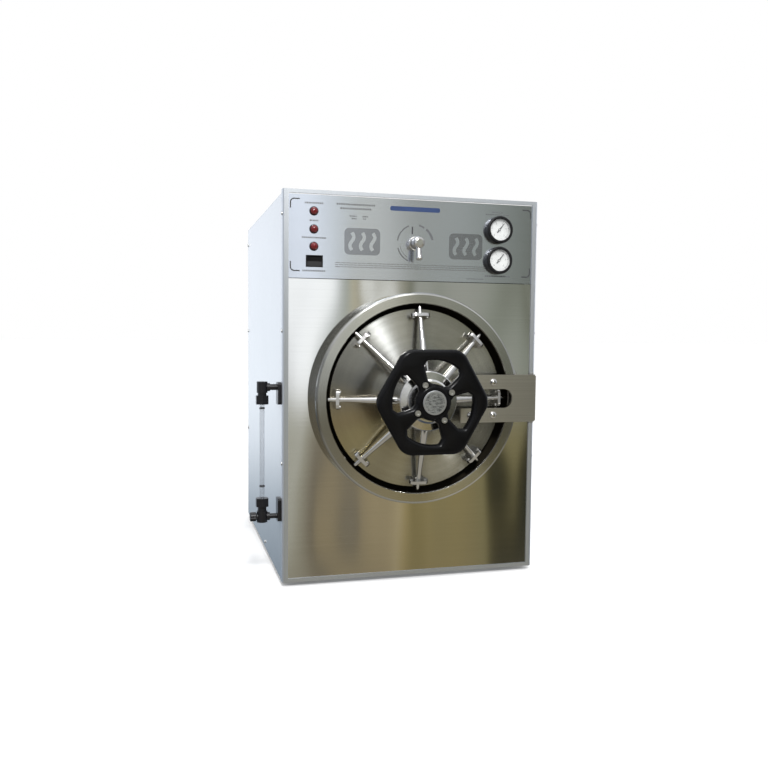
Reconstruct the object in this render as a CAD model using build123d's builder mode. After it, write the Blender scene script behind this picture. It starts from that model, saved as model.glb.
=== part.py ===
from build123d import *
from math import cos, pi, radians, sin, sqrt, tan
import os

# Benchtop steam autoclave. Millimetres, +Z up, +X to the right, the front faces -Y.
# The origin lies on the bench, in the middle of the four foot bolts.
# "Stand-off" is the distance in front of the front panel, so y = FRONT_Y - stand-off.

# ---- cabinet ----
WIDTH = 500.0
DEPTH = 600.0
TOP_Z = 730.0
FOOT_HEIGHT = 8.0
SHEET = 1.5
HALF_WIDTH = WIDTH / 2
FRONT_Y = -DEPTH / 2
REAR_Y = DEPTH / 2
TRIM_WIDTH = 10.5
TRIM_DEPTH = 18.0
TRIM_PROUD = 2.0
ROOF_Z = TOP_Z - 6.0
SEAM_Z = 570.0
FOOT_X = 200.0
FOOT_Y = 250.0
FOOT_BOLT_RADIUS = 4.5

# ---- pressure chamber and door ring ----
AXIS_Z = 350.0
CHAMBER_RADIUS = 147.0
VESSEL_RADIUS = 150.0
VESSEL_DEPTH = 490.0
DISH_RADIUS = 250.0
NECK_RADIUS = 172.0
RING_RADIUS = 197.0
LIP_RADIUS = 176.0
RING_HEIGHT = 43.0
SEAT = 8.0
BLANKET_RADIUS = 180.0
SADDLE_YS = (-200.0, 80.0)
SADDLE_THICKNESS = 3.0

# ---- door, hub and locking rods ----
DOOR_RADIUS = 168.0
DOOR_BACK = 13.0
DOOR_RIM = 24.0
DOOR_CROWN = 30.0
CROWN_RADIUS = 60.0
ROD_COUNT = 8
ROD_SLOPE = 18.0
ROD_RADIUS = 7.0
ROD_TIP_RADIUS = 4.5
ROD_START = 20.0
ROD_END = 173.5
ROD_STROKE = 14.0
PIN_START = 26.0
PIN_RADIUS = 3.0
LOCK_ANGLE = 60.0
RUNNING = 0.06
HUB_RADIUS = 54.0
HUB_CAVITY = 46.5
HUB_TOP = 90.0
COVER_TOP = 104.0
CAM_BOTTOM = 54.0
CAM_TOP = 60.0
SPINDLE_RADIUS = 9.0
GUIDE_RADIUS = 154.0
WHEEL_BACK = 105.0
WHEEL_RIM = 108.0
WHEEL_FRONT = 126.0

# ---- hinge ----
HINGE_X = 222.0
HINGE_STAND_OFF = 46.0
KNUCKLE_RADIUS = 8.0
HINGE_PIN_RADIUS = 3.0
ARM_LEFT = 76.0
ARM_BACK = 49.0
ARM_FRONT = 54.0
ARM_HALF = 45.0
ARM_SLOT_HALF = 18.0
ARM_SLOT_END = 180.0
ARM_BOLT_XS = (95.0, 141.0)
ARM_BOLT_RISE = 31.0
BRACKET_HALF = 19.8

# ---- controls on the fascia: x, z of each ----
LAMPS = ((-193.0, 692.0), (-193.0, 659.5), (-193.0, 628.3))
SWITCH = (-192.0, 601.5)
SELECTOR = (0.0, 640.0)
GAUGES = ((168.0, 672.0), (168.0, 613.6))

# ---- water gauge on the left side ----
GAUGE_Y = FRONT_Y + 25.0
GAUGE_X = -284.0
GAUGE_TOP_Z = 370.0
GAUGE_BOTTOM_Z = 129.0
GLASS_RADIUS = 4.4

# ---- services ----
STEAM_OUTLET = (120.0, 640.0)
DRAIN_OUTLET = (0.0, 68.0)
POWER_INLET = (180.0, 70.0)
FILLER = (-140.0, 150.0)
SAFETY_VALVE = (90.0, 60.0)
OUTLET_END = REAR_Y + 21.0
STEAM_TAIL = 6.5
DRAIN_TAIL = 8.0

CHAMBER_AXIS = Axis((0, 0, AXIS_Z), (0, 1, 0))


def front_plane(stand_off):
    """Plane parallel to the front panel, facing the operator: local x is x, local y is z."""
    return Plane(origin=(0, FRONT_Y - stand_off, 0), x_dir=(1, 0, 0), z_dir=(0, -1, 0))


def side_plane(x):
    """Plane across the cabinet at x, facing right: local x is y, local y is z."""
    return Plane(origin=(x, 0, 0), x_dir=(0, 1, 0), z_dir=(1, 0, 0))


def slab(x, y, z, mode=Mode.ADD):
    """Box between the (low, high) pairs of each axis."""
    middle = ((x[0] + x[1]) / 2, (y[0] + y[1]) / 2, (z[0] + z[1]) / 2)
    with Locations(middle):
        Box(x[1] - x[0], y[1] - y[0], z[1] - z[0], mode=mode)


def bar(plane, at, radius, length, mode=Mode.ADD):
    """Round bar standing on a plane."""
    with BuildSketch(plane) as end:
        with Locations(at):
            Circle(radius)
    extrude(end.sketch, amount=length, mode=mode)


def turned(outline, at=(0.0, AXIS_Z), mode=Mode.ADD):
    """Revolve an outline of (radius, stand-off) points about the front-to-back axis at (x, z)."""
    x, z = at
    with BuildSketch(Plane.XY.offset(z)) as half:
        with BuildLine():
            Polyline(*[(x + radius, FRONT_Y - stand_off) for radius, stand_off in outline], close=True)
        make_face()
    revolve(half.sketch, axis=Axis((x, 0, z), (0, 1, 0)), mode=mode)


def turned_upright(outline, at, mode=Mode.ADD):
    """Revolve an outline of (radius, height) points about the vertical axis at (x, y)."""
    x, y = at
    with BuildSketch(Plane.XZ.offset(-y)) as half:
        with BuildLine():
            Polyline(*[(x + radius, height) for radius, height in outline], close=True)
        make_face()
    revolve(half.sketch, axis=Axis((x, y, 0), (0, 0, 1)), mode=mode)


def dish(radius, sphere):
    """Stand-off of the dished chamber end at a radius, on a sphere of the given radius."""
    centre = DISH_RADIUS - VESSEL_DEPTH
    return centre - sqrt(sphere**2 - radius**2)


def rod_axis_height(radius):
    """Stand-off of a locking rod's axis at a distance from the chamber axis."""
    return DOOR_CROWN + tan(radians(ROD_SLOPE)) * (LIP_RADIUS - radius)


def rod_point(angle, radius):
    """Point on a locking rod's axis, with the rod at an angle in degrees from +X towards +Z."""
    x = radius * cos(radians(angle))
    z = AXIS_Z + radius * sin(radians(angle))
    return Vector(x, FRONT_Y - rod_axis_height(radius), z)


def rod_direction(angle):
    """Unit vector along a locking rod, outwards and back towards the ring."""
    out = cos(radians(ROD_SLOPE))
    return Vector(out * cos(radians(angle)), sin(radians(ROD_SLOPE)), out * sin(radians(angle)))


def rod_plane(angle, radius):
    """Plane across a locking rod, facing outwards, with its local x along the rim."""
    rim = Vector(-sin(radians(angle)), 0, cos(radians(angle)))
    return Plane(origin=rod_point(angle, radius), x_dir=rim, z_dir=rod_direction(angle))


def along_rod(radius):
    """Distance along a rod from its inner end to a distance from the chamber axis."""
    return (radius - ROD_START) / cos(radians(ROD_SLOPE))


def door_height(radius):
    """Stand-off of the door's front face at a radius."""
    slope = (DOOR_CROWN - DOOR_RIM) / (DOOR_RADIUS - CROWN_RADIUS)
    return DOOR_RIM + slope * (DOOR_RADIUS - max(radius, CROWN_RADIUS))


os.makedirs("parts", exist_ok=True)
ROD_ANGLES = [i * 360 / ROD_COUNT for i in range(ROD_COUNT)]
SIDES = (-1, 1)

# =============================== cabinet ===============================

# Folded floor tray with upturned edges and the four foot bolt holes.
FLOOR_HEM = 22.0
FOOT_RADIUS = 20.0
FLOOR_X = HALF_WIDTH - SHEET - 0.2
FLOOR_Y = REAR_Y - SHEET - 0.2
with BuildPart() as base_tray:
    slab((-FLOOR_X, FLOOR_X), (-FLOOR_Y, FLOOR_Y), (FOOT_HEIGHT, FOOT_HEIGHT + FLOOR_HEM))
    slab(
        (-FLOOR_X + SHEET, FLOOR_X - SHEET),
        (-FLOOR_Y + SHEET, FLOOR_Y - SHEET),
        (FOOT_HEIGHT + SHEET, FOOT_HEIGHT + FLOOR_HEM),
        mode=Mode.SUBTRACT,
    )
    with Locations((0, 0, FOOT_HEIGHT)):
        with GridLocations(2 * FOOT_X, 2 * FOOT_Y, 2, 2):
            Cylinder(FOOT_BOLT_RADIUS, 4 * SHEET, mode=Mode.SUBTRACT)
    with Locations((0, 0, FOOT_HEIGHT)):
        with GridLocations(24, 60, 9, 3):
            Cylinder(4, 4 * SHEET, mode=Mode.SUBTRACT)
base_tray.part.label = "base_tray"
export_step(base_tray.part, "parts/base_tray.step")

# Four soft feet, drilled through so that the cabinet can be bolted to the bench.
with BuildPart() as rubber_feet:
    with BuildSketch(Plane.XY):
        with GridLocations(2 * FOOT_X, 2 * FOOT_Y, 2, 2):
            Circle(FOOT_RADIUS)
            Circle(FOOT_BOLT_RADIUS, mode=Mode.SUBTRACT)
    extrude(amount=FOOT_HEIGHT)
    lowest = rubber_feet.edges().filter_by(GeomType.CIRCLE).group_by(Axis.Z)[0]
    chamfer(lowest.group_by(SortBy.RADIUS)[-1], 1.5)
rubber_feet.part.label = "rubber_feet"
export_step(rubber_feet.part, "parts/rubber_feet.step")

# Inner frame: corner angles, rails and shelf bars set a hair apart, and four cradle legs.
POST_GAP = 0.3
POST_X = FLOOR_X - SHEET - POST_GAP
POST_Y = FLOOR_Y - SHEET - POST_GAP
POST_LEG = 20.0
POST_WALL = 2.0
POST_BASE = FOOT_HEIGHT + SHEET + 0.1
POST_TOP = 719.0
RAIL_Z = 701.0
SHELF_Z = 538.0
SHELF_BAR = 3.0
SHELF_YS = (-60.0, 200.0)
MEMBER_GAP = 0.2
LEG_X = (35.0, 105.0)
LEG_TOP = 250.0
LEG_FOOT = 15.0
with BuildPart() as inner_frame:
    for side in SIDES:
        for end in SIDES:
            outer = (side * POST_X, end * POST_Y)
            inner = (side * (POST_X - POST_LEG), end * (POST_Y - POST_LEG))
            thin = (side * (POST_X - POST_WALL), end * (POST_Y - POST_WALL))
            slab(sorted((outer[0], inner[0])), sorted((outer[1], thin[1])), (POST_BASE, POST_TOP))
            slab(sorted((outer[0], thin[0])), sorted((outer[1], inner[1])), (POST_BASE, POST_TOP))
        rail_x = sorted((side * POST_X, side * (POST_X - POST_WALL)))
        rail_end = POST_Y - POST_LEG - MEMBER_GAP
        slab(rail_x, (-rail_end, rail_end), (RAIL_Z, POST_TOP))
        slab(rail_x, (-rail_end, rail_end), (SHELF_Z - 17, SHELF_Z - MEMBER_GAP))
        rail_y = sorted((side * POST_Y, side * (POST_Y - POST_WALL)))
        rail_end = POST_X - POST_LEG - MEMBER_GAP
        slab((-rail_end, rail_end), rail_y, (RAIL_Z, POST_TOP))
        for y in SADDLE_YS:
            leg = sorted((side * LEG_X[0], side * LEG_X[1]))
            slab(leg, (y - SADDLE_THICKNESS / 2, y + SADDLE_THICKNESS / 2), (POST_BASE, LEG_TOP))
            slab(leg, (y - LEG_FOOT, y + LEG_FOOT), (POST_BASE, POST_BASE + SHELF_BAR))
    for y in SHELF_YS:
        slab((-POST_X, POST_X), (y - 12, y + 12), (SHELF_Z, SHELF_Z + SHELF_BAR))
    bar(front_plane(FRONT_Y - SADDLE_YS[1] - 20), (0, AXIS_Z), VESSEL_RADIUS + 0.1, 340, mode=Mode.SUBTRACT)
inner_frame.part.label = "inner_frame"
export_step(inner_frame.part, "parts/inner_frame.step")

# Side panels: plain sheets with a hem folded inwards along the top.
PANEL_FRONT = FRONT_Y - TRIM_PROUD + TRIM_DEPTH + 0.2
PANEL_BASE = FOOT_HEIGHT + 2
PANEL_TOP = ROOF_Z - SHEET - 0.1
SIDE_NAMES = {-1: "left_side_panel", 1: "right_side_panel"}
for side, name in SIDE_NAMES.items():
    with BuildPart() as side_panel:
        face = sorted((side * HALF_WIDTH, side * (HALF_WIDTH - SHEET)))
        slab(face, (PANEL_FRONT, REAR_Y), (PANEL_BASE, PANEL_TOP))
    side_panel.part.label = name
    export_step(side_panel.part, f"parts/{name}.step")

# Roof sheet with side hems, the filler hole and the safety valve hole.
with BuildPart() as top_cover:
    slab((-HALF_WIDTH, HALF_WIDTH), (PANEL_FRONT, REAR_Y), (ROOF_Z - SHEET, ROOF_Z))
    for side in SIDES:
        hem = sorted((side * FLOOR_X, side * (FLOOR_X - SHEET)))
        slab(hem, (PANEL_FRONT + 5, POST_Y), (ROOF_Z - 14, ROOF_Z - SHEET))
    bar(Plane.XY.offset(ROOF_Z - 5), FILLER, 23, 10, mode=Mode.SUBTRACT)
    bar(Plane.XY.offset(ROOF_Z - 5), SAFETY_VALVE, 8, 10, mode=Mode.SUBTRACT)
top_cover.part.label = "top_cover"
export_step(top_cover.part, "parts/top_cover.step")

# Rear sheet with cooling slots and the service openings.
INLET_HALF = (14.0, 10.0)
with BuildPart() as rear_panel:
    slab((-FLOOR_X, FLOOR_X), (REAR_Y - SHEET, REAR_Y), (PANEL_BASE, PANEL_TOP))
    with BuildSketch(front_plane(-DEPTH)):
        with Locations((0, 540)):
            with GridLocations(110, 14, 3, 8):
                SlotOverall(80, 5)
        with Locations(STEAM_OUTLET, DRAIN_OUTLET):
            Circle(9)
        with Locations(POWER_INLET):
            Rectangle(2 * INLET_HALF[0], 2 * INLET_HALF[1])
    extrude(amount=3 * SHEET, both=True, mode=Mode.SUBTRACT)
rear_panel.part.label = "rear_panel"
export_step(rear_panel.part, "parts/rear_panel.step")

# Corner mouldings joined into one frame round the front, with a fine line along each upright.
TRIM_FRONT = FRONT_Y - TRIM_PROUD
FACE_HALF = HALF_WIDTH - TRIM_WIDTH
TOP_BAR_Z = TOP_Z - 7.0
TRIM_LINE = 4.2
TRIM_LINE_HALF = 0.4
TRIM_CHAMFER = 2.4
BOTTOM_BAR_Z = FOOT_HEIGHT + 7.0
with BuildPart() as front_trim:
    for side in SIDES:
        flat = sorted((side * HALF_WIDTH, side * FACE_HALF))
        slab(flat, (TRIM_FRONT, FRONT_Y + SHEET), (FOOT_HEIGHT, TOP_Z))
        cheek = sorted((side * HALF_WIDTH, side * (HALF_WIDTH - SHEET)))
        slab(cheek, (TRIM_FRONT, TRIM_FRONT + TRIM_DEPTH), (FOOT_HEIGHT, TOP_Z))
    slab((-FACE_HALF, FACE_HALF), (TRIM_FRONT, FRONT_Y + SHEET), (TOP_BAR_Z, TOP_Z))
    slab((-HALF_WIDTH, HALF_WIDTH), (TRIM_FRONT, TRIM_FRONT + TRIM_DEPTH), (TOP_Z - 2, TOP_Z))
    slab((-FACE_HALF, FACE_HALF), (TRIM_FRONT, FRONT_Y + SHEET), (FOOT_HEIGHT, BOTTOM_BAR_Z))
    corners = front_trim.edges().filter_by(Axis.Z).group_by(Axis.Y)[0]
    chamfer([edge for edge in corners if abs(edge.center().X) > HALF_WIDTH - 0.1], TRIM_CHAMFER)
    for side in SIDES:
        line = side * (HALF_WIDTH - TRIM_LINE)
        across = (line - TRIM_LINE_HALF, line + TRIM_LINE_HALF)
        slab(across, (TRIM_FRONT, TRIM_FRONT + 0.6), (FOOT_HEIGHT, TOP_Z), mode=Mode.SUBTRACT)
front_trim.part.label = "front_trim"
export_step(front_trim.part, "parts/front_trim.step")

# Lower front sheet, with the round hole that the chamber neck comes through.
PANEL_HALF = FACE_HALF - 0.2
with BuildPart() as front_panel:
    slab((-PANEL_HALF, PANEL_HALF), (FRONT_Y, FRONT_Y + SHEET), (BOTTOM_BAR_Z + 0.2, SEAM_Z - 0.6))
    bar(front_plane(-5), (0, AXIS_Z), NECK_RADIUS + 0.5, 10, mode=Mode.SUBTRACT)
front_panel.part.label = "front_panel"
export_step(front_panel.part, "parts/front_panel.step")

# Control fascia with its cut-outs.
SWITCH_HALF = (14.6, 9.8)
GAUGE_NECK = 22.0
with BuildPart() as control_fascia:
    slab((-PANEL_HALF, PANEL_HALF), (FRONT_Y, FRONT_Y + SHEET), (SEAM_Z + 0.6, TOP_BAR_Z - 1.4))
    with BuildSketch(front_plane(-SHEET)):
        with Locations(*LAMPS):
            Circle(6.7)
        with Locations(SWITCH):
            Rectangle(2 * SWITCH_HALF[0] + 0.4, 2 * SWITCH_HALF[1] + 0.4)
        with Locations(SELECTOR):
            Circle(9)
        with Locations(*GAUGES):
            Circle(GAUGE_NECK + 0.3)
    extrude(amount=3 * SHEET, both=True, mode=Mode.SUBTRACT)
control_fascia.part.label = "control_fascia"
export_step(control_fascia.part, "parts/control_fascia.step")

# Pan-head screws: side mouldings, roof-line, rear panel and hinge bracket.
SCREW_RADIUS = 3.5
SCREW_HEAD = 1.8
SIDE_SCREWS = (
    (FRONT_Y + 6, 686),
    (FRONT_Y + 6, 474),
    (FRONT_Y + 6, 230),
    (REAR_Y - 8, 686),
    (REAR_Y - 8, 474),
    (REAR_Y - 8, 230),
    (-47, 22),
    (190, 22),
)
REAR_SCREWS = [(x, z) for x in (-240, 240) for z in (30, 360, 700)]
BRACKET_SCREWS = [(x, z) for x in (208, 233) for z in (AXIS_Z - 32, AXIS_Z + 32)]
BRACKET_BASE = 4.0
with BuildPart() as panel_screws:
    for at in SIDE_SCREWS:
        bar(side_plane(HALF_WIDTH), at, SCREW_RADIUS, SCREW_HEAD)
        bar(side_plane(-HALF_WIDTH - SCREW_HEAD), at, SCREW_RADIUS, SCREW_HEAD)
    for at in REAR_SCREWS:
        bar(front_plane(-DEPTH - SCREW_HEAD), at, SCREW_RADIUS, SCREW_HEAD)
    for at in BRACKET_SCREWS:
        bar(front_plane(BRACKET_BASE), at, SCREW_RADIUS, SCREW_HEAD)
panel_screws.part.label = "panel_screws"
export_step(panel_screws.part, "parts/panel_screws.step")

# =============================== chamber ===============================

HEATER_X = 45.0
HEATER_Z = AXIS_Z - 131.0
HEATER_RADIUS = 4.0
RACK_X = 106.0

# Drawn chamber with a dished back. Two heater leads pass through the dish.
with BuildPart() as chamber_vessel:
    inner_sphere = DISH_RADIUS - (VESSEL_RADIUS - CHAMBER_RADIUS)
    with BuildSketch(Plane.XY.offset(AXIS_Z)):
        with BuildLine():
            rim_out = (VESSEL_RADIUS, FRONT_Y - SEAT)
            knee_out = (VESSEL_RADIUS, FRONT_Y - dish(VESSEL_RADIUS, DISH_RADIUS))
            mid_out = (VESSEL_RADIUS / 2, FRONT_Y - dish(VESSEL_RADIUS / 2, DISH_RADIUS))
            pole_out = (0, FRONT_Y - dish(0, DISH_RADIUS))
            pole_in = (0, FRONT_Y - dish(0, inner_sphere))
            mid_in = (CHAMBER_RADIUS / 2, FRONT_Y - dish(CHAMBER_RADIUS / 2, inner_sphere))
            knee_in = (CHAMBER_RADIUS, FRONT_Y - dish(CHAMBER_RADIUS, inner_sphere))
            rim_in = (CHAMBER_RADIUS, FRONT_Y - SEAT)
            Line(rim_out, knee_out)
            ThreePointArc(knee_out, mid_out, pole_out)
            Line(pole_out, pole_in)
            ThreePointArc(pole_in, mid_in, knee_in)
            Line(knee_in, rim_in)
            Line(rim_in, rim_out)
        make_face()
    revolve(axis=CHAMBER_AXIS)
    for side in SIDES:
        heater = (side * HEATER_X, HEATER_Z)
        bar(front_plane(-VESSEL_DEPTH), heater, HEATER_RADIUS + 0.1, 80, mode=Mode.SUBTRACT)
chamber_vessel.part.label = "chamber_vessel"
export_step(chamber_vessel.part, "parts/chamber_vessel.step")

# Heavy door ring, of three rings clamped together a hair apart: a neck through the panel with
# the gasket seat, a plain wall, and an inward lip that holds the rods.
WALL_RADIUS = RING_RADIUS - 8.0
LIP_BACK = RING_HEIGHT - 7.0
RING_GAP = 0.1
with BuildPart() as door_ring:
    turned(
        (
            (VESSEL_RADIUS + 0.1, -40),
            (NECK_RADIUS, -40),
            (NECK_RADIUS, 0),
            (RING_RADIUS, 0),
            (RING_RADIUS, SEAT),
            (VESSEL_RADIUS + 0.1, SEAT),
        )
    )
    turned(
        (
            (WALL_RADIUS, SEAT + RING_GAP),
            (RING_RADIUS, SEAT + RING_GAP),
            (RING_RADIUS, LIP_BACK - RING_GAP),
            (WALL_RADIUS, LIP_BACK - RING_GAP),
        )
    )
    turned(
        (
            (LIP_RADIUS, LIP_BACK),
            (RING_RADIUS, LIP_BACK),
            (RING_RADIUS, RING_HEIGHT - 5),
            (RING_RADIUS - 1.4, RING_HEIGHT - 1.6),
            (RING_RADIUS - 4.5, RING_HEIGHT),
            (LIP_RADIUS + 1.5, RING_HEIGHT),
            (LIP_RADIUS, RING_HEIGHT - 1.5),
        )
    )
door_ring.part.label = "door_ring"
export_step(door_ring.part, "parts/door_ring.step")

# Insulation wrapped round the chamber in bands between the cradles.
BLANKET_HOLES = (8.0, 9.0)
BLANKET_REACH = 200.0
with BuildPart() as insulation_blanket:
    edges_y = [FRONT_Y + 42]
    for y in SADDLE_YS:
        edges_y += [y - SADDLE_THICKNESS, y + SADDLE_THICKNESS]
    edges_y.append(FRONT_Y + VESSEL_DEPTH - 55)
    for start, end in zip(edges_y[0::2], edges_y[1::2]):
        near, far = FRONT_Y - start, FRONT_Y - end
        turned(
            (
                (VESSEL_RADIUS + 0.2, near),
                (BLANKET_RADIUS, near),
                (BLANKET_RADIUS, far),
                (VESSEL_RADIUS + 0.2, far),
            )
        )
    bar(Plane.XY.offset(AXIS_Z), (0, -150), BLANKET_HOLES[0], BLANKET_REACH, mode=Mode.SUBTRACT)
    bar(Plane.XY.offset(AXIS_Z), SAFETY_VALVE, BLANKET_HOLES[1], BLANKET_REACH, mode=Mode.SUBTRACT)
    below = Plane.XY.offset(AXIS_Z - BLANKET_REACH)
    bar(below, (0, 110), BLANKET_HOLES[1], BLANKET_REACH, mode=Mode.SUBTRACT)
insulation_blanket.part.label = "insulation_blanket"
export_step(insulation_blanket.part, "parts/insulation_blanket.step")

# Tubular heater: one hairpin along the chamber floor, its ends through the dished back.
HEATER_FRONT = FRONT_Y + 45.0
HEATER_BACK = FRONT_Y + VESSEL_DEPTH - 20.0
with BuildPart() as heater_element:
    with BuildLine(Plane.XY.offset(HEATER_Z)) as hairpin:
        Line((-HEATER_X, HEATER_BACK), (-HEATER_X, HEATER_FRONT + HEATER_X))
        ThreePointArc(
            (-HEATER_X, HEATER_FRONT + HEATER_X), (0, HEATER_FRONT), (HEATER_X, HEATER_FRONT + HEATER_X)
        )
        Line((HEATER_X, HEATER_FRONT + HEATER_X), (HEATER_X, HEATER_BACK))
    with BuildSketch(Plane(origin=(-HEATER_X, HEATER_BACK, HEATER_Z), z_dir=(0, -1, 0))):
        Circle(HEATER_RADIUS)
    sweep()
heater_element.part.label = "heater_element"
export_step(heater_element.part, "parts/heater_element.step")

# Rack: two side plates that stand on the chamber floor, joined by bars, with two rails each.
RACK_FRONT = FRONT_Y + 22.0
RACK_BACK = FRONT_Y + 428.0
RAIL_HEIGHTS = (AXIS_Z - 82.0, AXIS_Z - 4.0)
TRAY_HALF = RACK_X - SHEET - 1.0
with BuildPart() as tray_rack:
    for side in SIDES:
        plate = sorted((side * RACK_X, side * (RACK_X - SHEET)))
        slab(plate, (RACK_FRONT, RACK_BACK), (AXIS_Z - 100.5, AXIS_Z + 40))
        rail = sorted((side * (RACK_X - SHEET), side * (RACK_X - SHEET - 9)))
        for height in RAIL_HEIGHTS:
            slab(rail, (RACK_FRONT, RACK_BACK), (height, height + SHEET))
    tie = RACK_X - SHEET - MEMBER_GAP
    for y in (RACK_FRONT + 10, RACK_BACK - 10):
        slab((-tie, tie), (y - 5, y + 5), (AXIS_Z - 100.5, AXIS_Z - 98))
    with BuildSketch(side_plane(0)):
        with Locations(((RACK_FRONT + RACK_BACK) / 2, AXIS_Z - 30)):
            with GridLocations(64, 76, 6, 2):
                SlotOverall(46, 22)
    extrude(amount=RACK_X + 5, both=True, mode=Mode.SUBTRACT)
tray_rack.part.label = "tray_rack"
export_step(tray_rack.part, "parts/tray_rack.step")

# Two perforated instrument trays that slide on the rails.
TRAY_FRONT = FRONT_Y + 25.0
TRAY_BACK = FRONT_Y + 418.0
TRAY_WALL = 1.2
TRAY_DEEP = 18.0
TRAY_NAMES = ("lower_tray", "upper_tray")
for name, height in zip(TRAY_NAMES, RAIL_HEIGHTS):
    floor = height + SHEET + 0.35
    with BuildPart() as tray:
        slab((-TRAY_HALF, TRAY_HALF), (TRAY_FRONT, TRAY_BACK), (floor, floor + TRAY_DEEP))
        slab(
            (-TRAY_HALF + TRAY_WALL, TRAY_HALF - TRAY_WALL),
            (TRAY_FRONT + TRAY_WALL, TRAY_BACK - TRAY_WALL),
            (floor + TRAY_WALL, floor + TRAY_DEEP),
            mode=Mode.SUBTRACT,
        )
        with Locations((0, (TRAY_FRONT + TRAY_BACK) / 2, floor)):
            with GridLocations(30, 36, 6, 10):
                Cylinder(4, 4 * TRAY_WALL, mode=Mode.SUBTRACT)
    tray.part.label = name
    export_step(tray.part, f"parts/{name}.step")

# Feed-water tank on the shelf above the chamber, with a filler neck through the roof.
TANK_X = (-200.0, 60.0)
TANK_Y = (-100.0, 250.0)
TANK_Z = (SHELF_Z + 3.2, 690.0)
NECK_TOP = TOP_Z + 10.0
NECK_OUT = 21.0
NECK_IN = 18.5
with BuildPart() as water_reservoir:
    slab(TANK_X, TANK_Y, TANK_Z)
    slab(
        (TANK_X[0] + 2, TANK_X[1] - 2),
        (TANK_Y[0] + 2, TANK_Y[1] - 2),
        (TANK_Z[0] + 2, TANK_Z[1] - 2),
        mode=Mode.SUBTRACT,
    )
    bar(Plane.XY.offset(TANK_Z[1]), FILLER, NECK_OUT, NECK_TOP - TANK_Z[1])
    bar(Plane.XY.offset(TANK_Z[1] - 5), FILLER, NECK_IN, NECK_TOP - TANK_Z[1] + 10, mode=Mode.SUBTRACT)
water_reservoir.part.label = "water_reservoir"
export_step(water_reservoir.part, "parts/water_reservoir.step")

# Lift-off filler cap: a plug inside the neck under a wide grip.
with BuildPart() as filler_cap:
    turned_upright(
        (
            (0, NECK_TOP - 12),
            (NECK_IN - 0.5, NECK_TOP - 12),
            (NECK_IN - 0.5, NECK_TOP + 0.3),
            (27, NECK_TOP + 0.3),
            (27, NECK_TOP + 13),
            (24, NECK_TOP + 16),
            (0, NECK_TOP + 16),
        ),
        FILLER,
    )
    with BuildSketch(Plane.XY.offset(NECK_TOP)):
        with Locations(FILLER):
            with PolarLocations(28.5, 12):
                Circle(3)
    extrude(amount=20, mode=Mode.SUBTRACT)
filler_cap.part.label = "filler_cap"
export_step(filler_cap.part, "parts/filler_cap.step")

# =============================== door ===============================

# Thick door plate: shallow cone in front, dished behind, with a gasket groove and bolt pads.
GASKET = (151.0, 161.0)
GROOVE = DOOR_BACK + 3.0
PAD_HEIGHT = DOOR_CROWN
ARM_BOLTS = [(x, AXIS_Z + side * ARM_BOLT_RISE) for x in ARM_BOLT_XS for side in SIDES]
DOOR_OUTLINE = (
    (0, 20),
    (110, 16),
    (135, DOOR_BACK),
    (GASKET[0] - 0.1, DOOR_BACK),
    (GASKET[0] - 0.1, GROOVE),
    (GASKET[1] + 0.1, GROOVE),
    (GASKET[1] + 0.1, DOOR_BACK),
    (DOOR_RADIUS - 0.8, DOOR_BACK),
    (DOOR_RADIUS, DOOR_BACK + 0.8),
    (DOOR_RADIUS, DOOR_RIM - 1.2),
    (DOOR_RADIUS - 1.2, DOOR_RIM),
    (CROWN_RADIUS, DOOR_CROWN),
    (0, DOOR_CROWN),
)
with BuildPart() as door_disc:
    turned(DOOR_OUTLINE)
    for at in ARM_BOLTS:
        bar(front_plane(DOOR_RIM - 4), at, 10, PAD_HEIGHT - DOOR_RIM + 4)
door_disc.part.label = "door_disc"
export_step(door_disc.part, "parts/door_disc.step")

# Silicone gasket in the groove.
with BuildPart() as door_gasket:
    turned(
        (
            (GASKET[0], SEAT + 1.3),
            (GASKET[0] + 1.5, SEAT + 0.3),
            (GASKET[1] - 1.5, SEAT + 0.3),
            (GASKET[1], SEAT + 1.3),
            (GASKET[1], GROOVE),
            (GASKET[0], GROOVE),
        )
    )
door_gasket.part.label = "door_gasket"
export_step(door_gasket.part, "parts/door_gasket.step")

# Hub housing: a cup on the door, bored at a slant for the eight rods.
HUB_FLOOR = 42.0
with BuildPart() as hub_housing:
    turned(
        (
            (0, DOOR_CROWN),
            (CROWN_RADIUS - 1.5, DOOR_CROWN),
            (CROWN_RADIUS - 1.5, DOOR_CROWN + 3),
            (HUB_RADIUS, DOOR_CROWN + 8),
            (HUB_RADIUS, HUB_TOP),
            (HUB_CAVITY, HUB_TOP),
            (HUB_CAVITY, HUB_FLOOR),
            (SPINDLE_RADIUS + RUNNING, HUB_FLOOR),
            (SPINDLE_RADIUS + RUNNING, HUB_FLOOR - 6),
            (0, HUB_FLOOR - 6),
        )
    )
    for angle in ROD_ANGLES:
        bar(rod_plane(angle, 34), (0, 0), ROD_RADIUS + RUNNING, 34, mode=Mode.SUBTRACT)
hub_housing.part.label = "hub_housing"
export_step(hub_housing.part, "parts/hub_housing.step")

# Turned cover on the housing, with the spindle bearing in its boss.
with BuildPart() as hub_cover:
    turned(
        (
            (SPINDLE_RADIUS + RUNNING, HUB_TOP),
            (HUB_RADIUS, HUB_TOP),
            (HUB_RADIUS, HUB_TOP + 2.5),
            (HUB_RADIUS - 1.5, HUB_TOP + 4),
            (40, HUB_TOP + 5),
            (40, COVER_TOP - 4),
            (36.5, COVER_TOP),
            (SPINDLE_RADIUS + RUNNING, COVER_TOP),
        )
    )
hub_cover.part.label = "hub_cover"
export_step(hub_cover.part, "parts/hub_cover.step")


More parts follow.
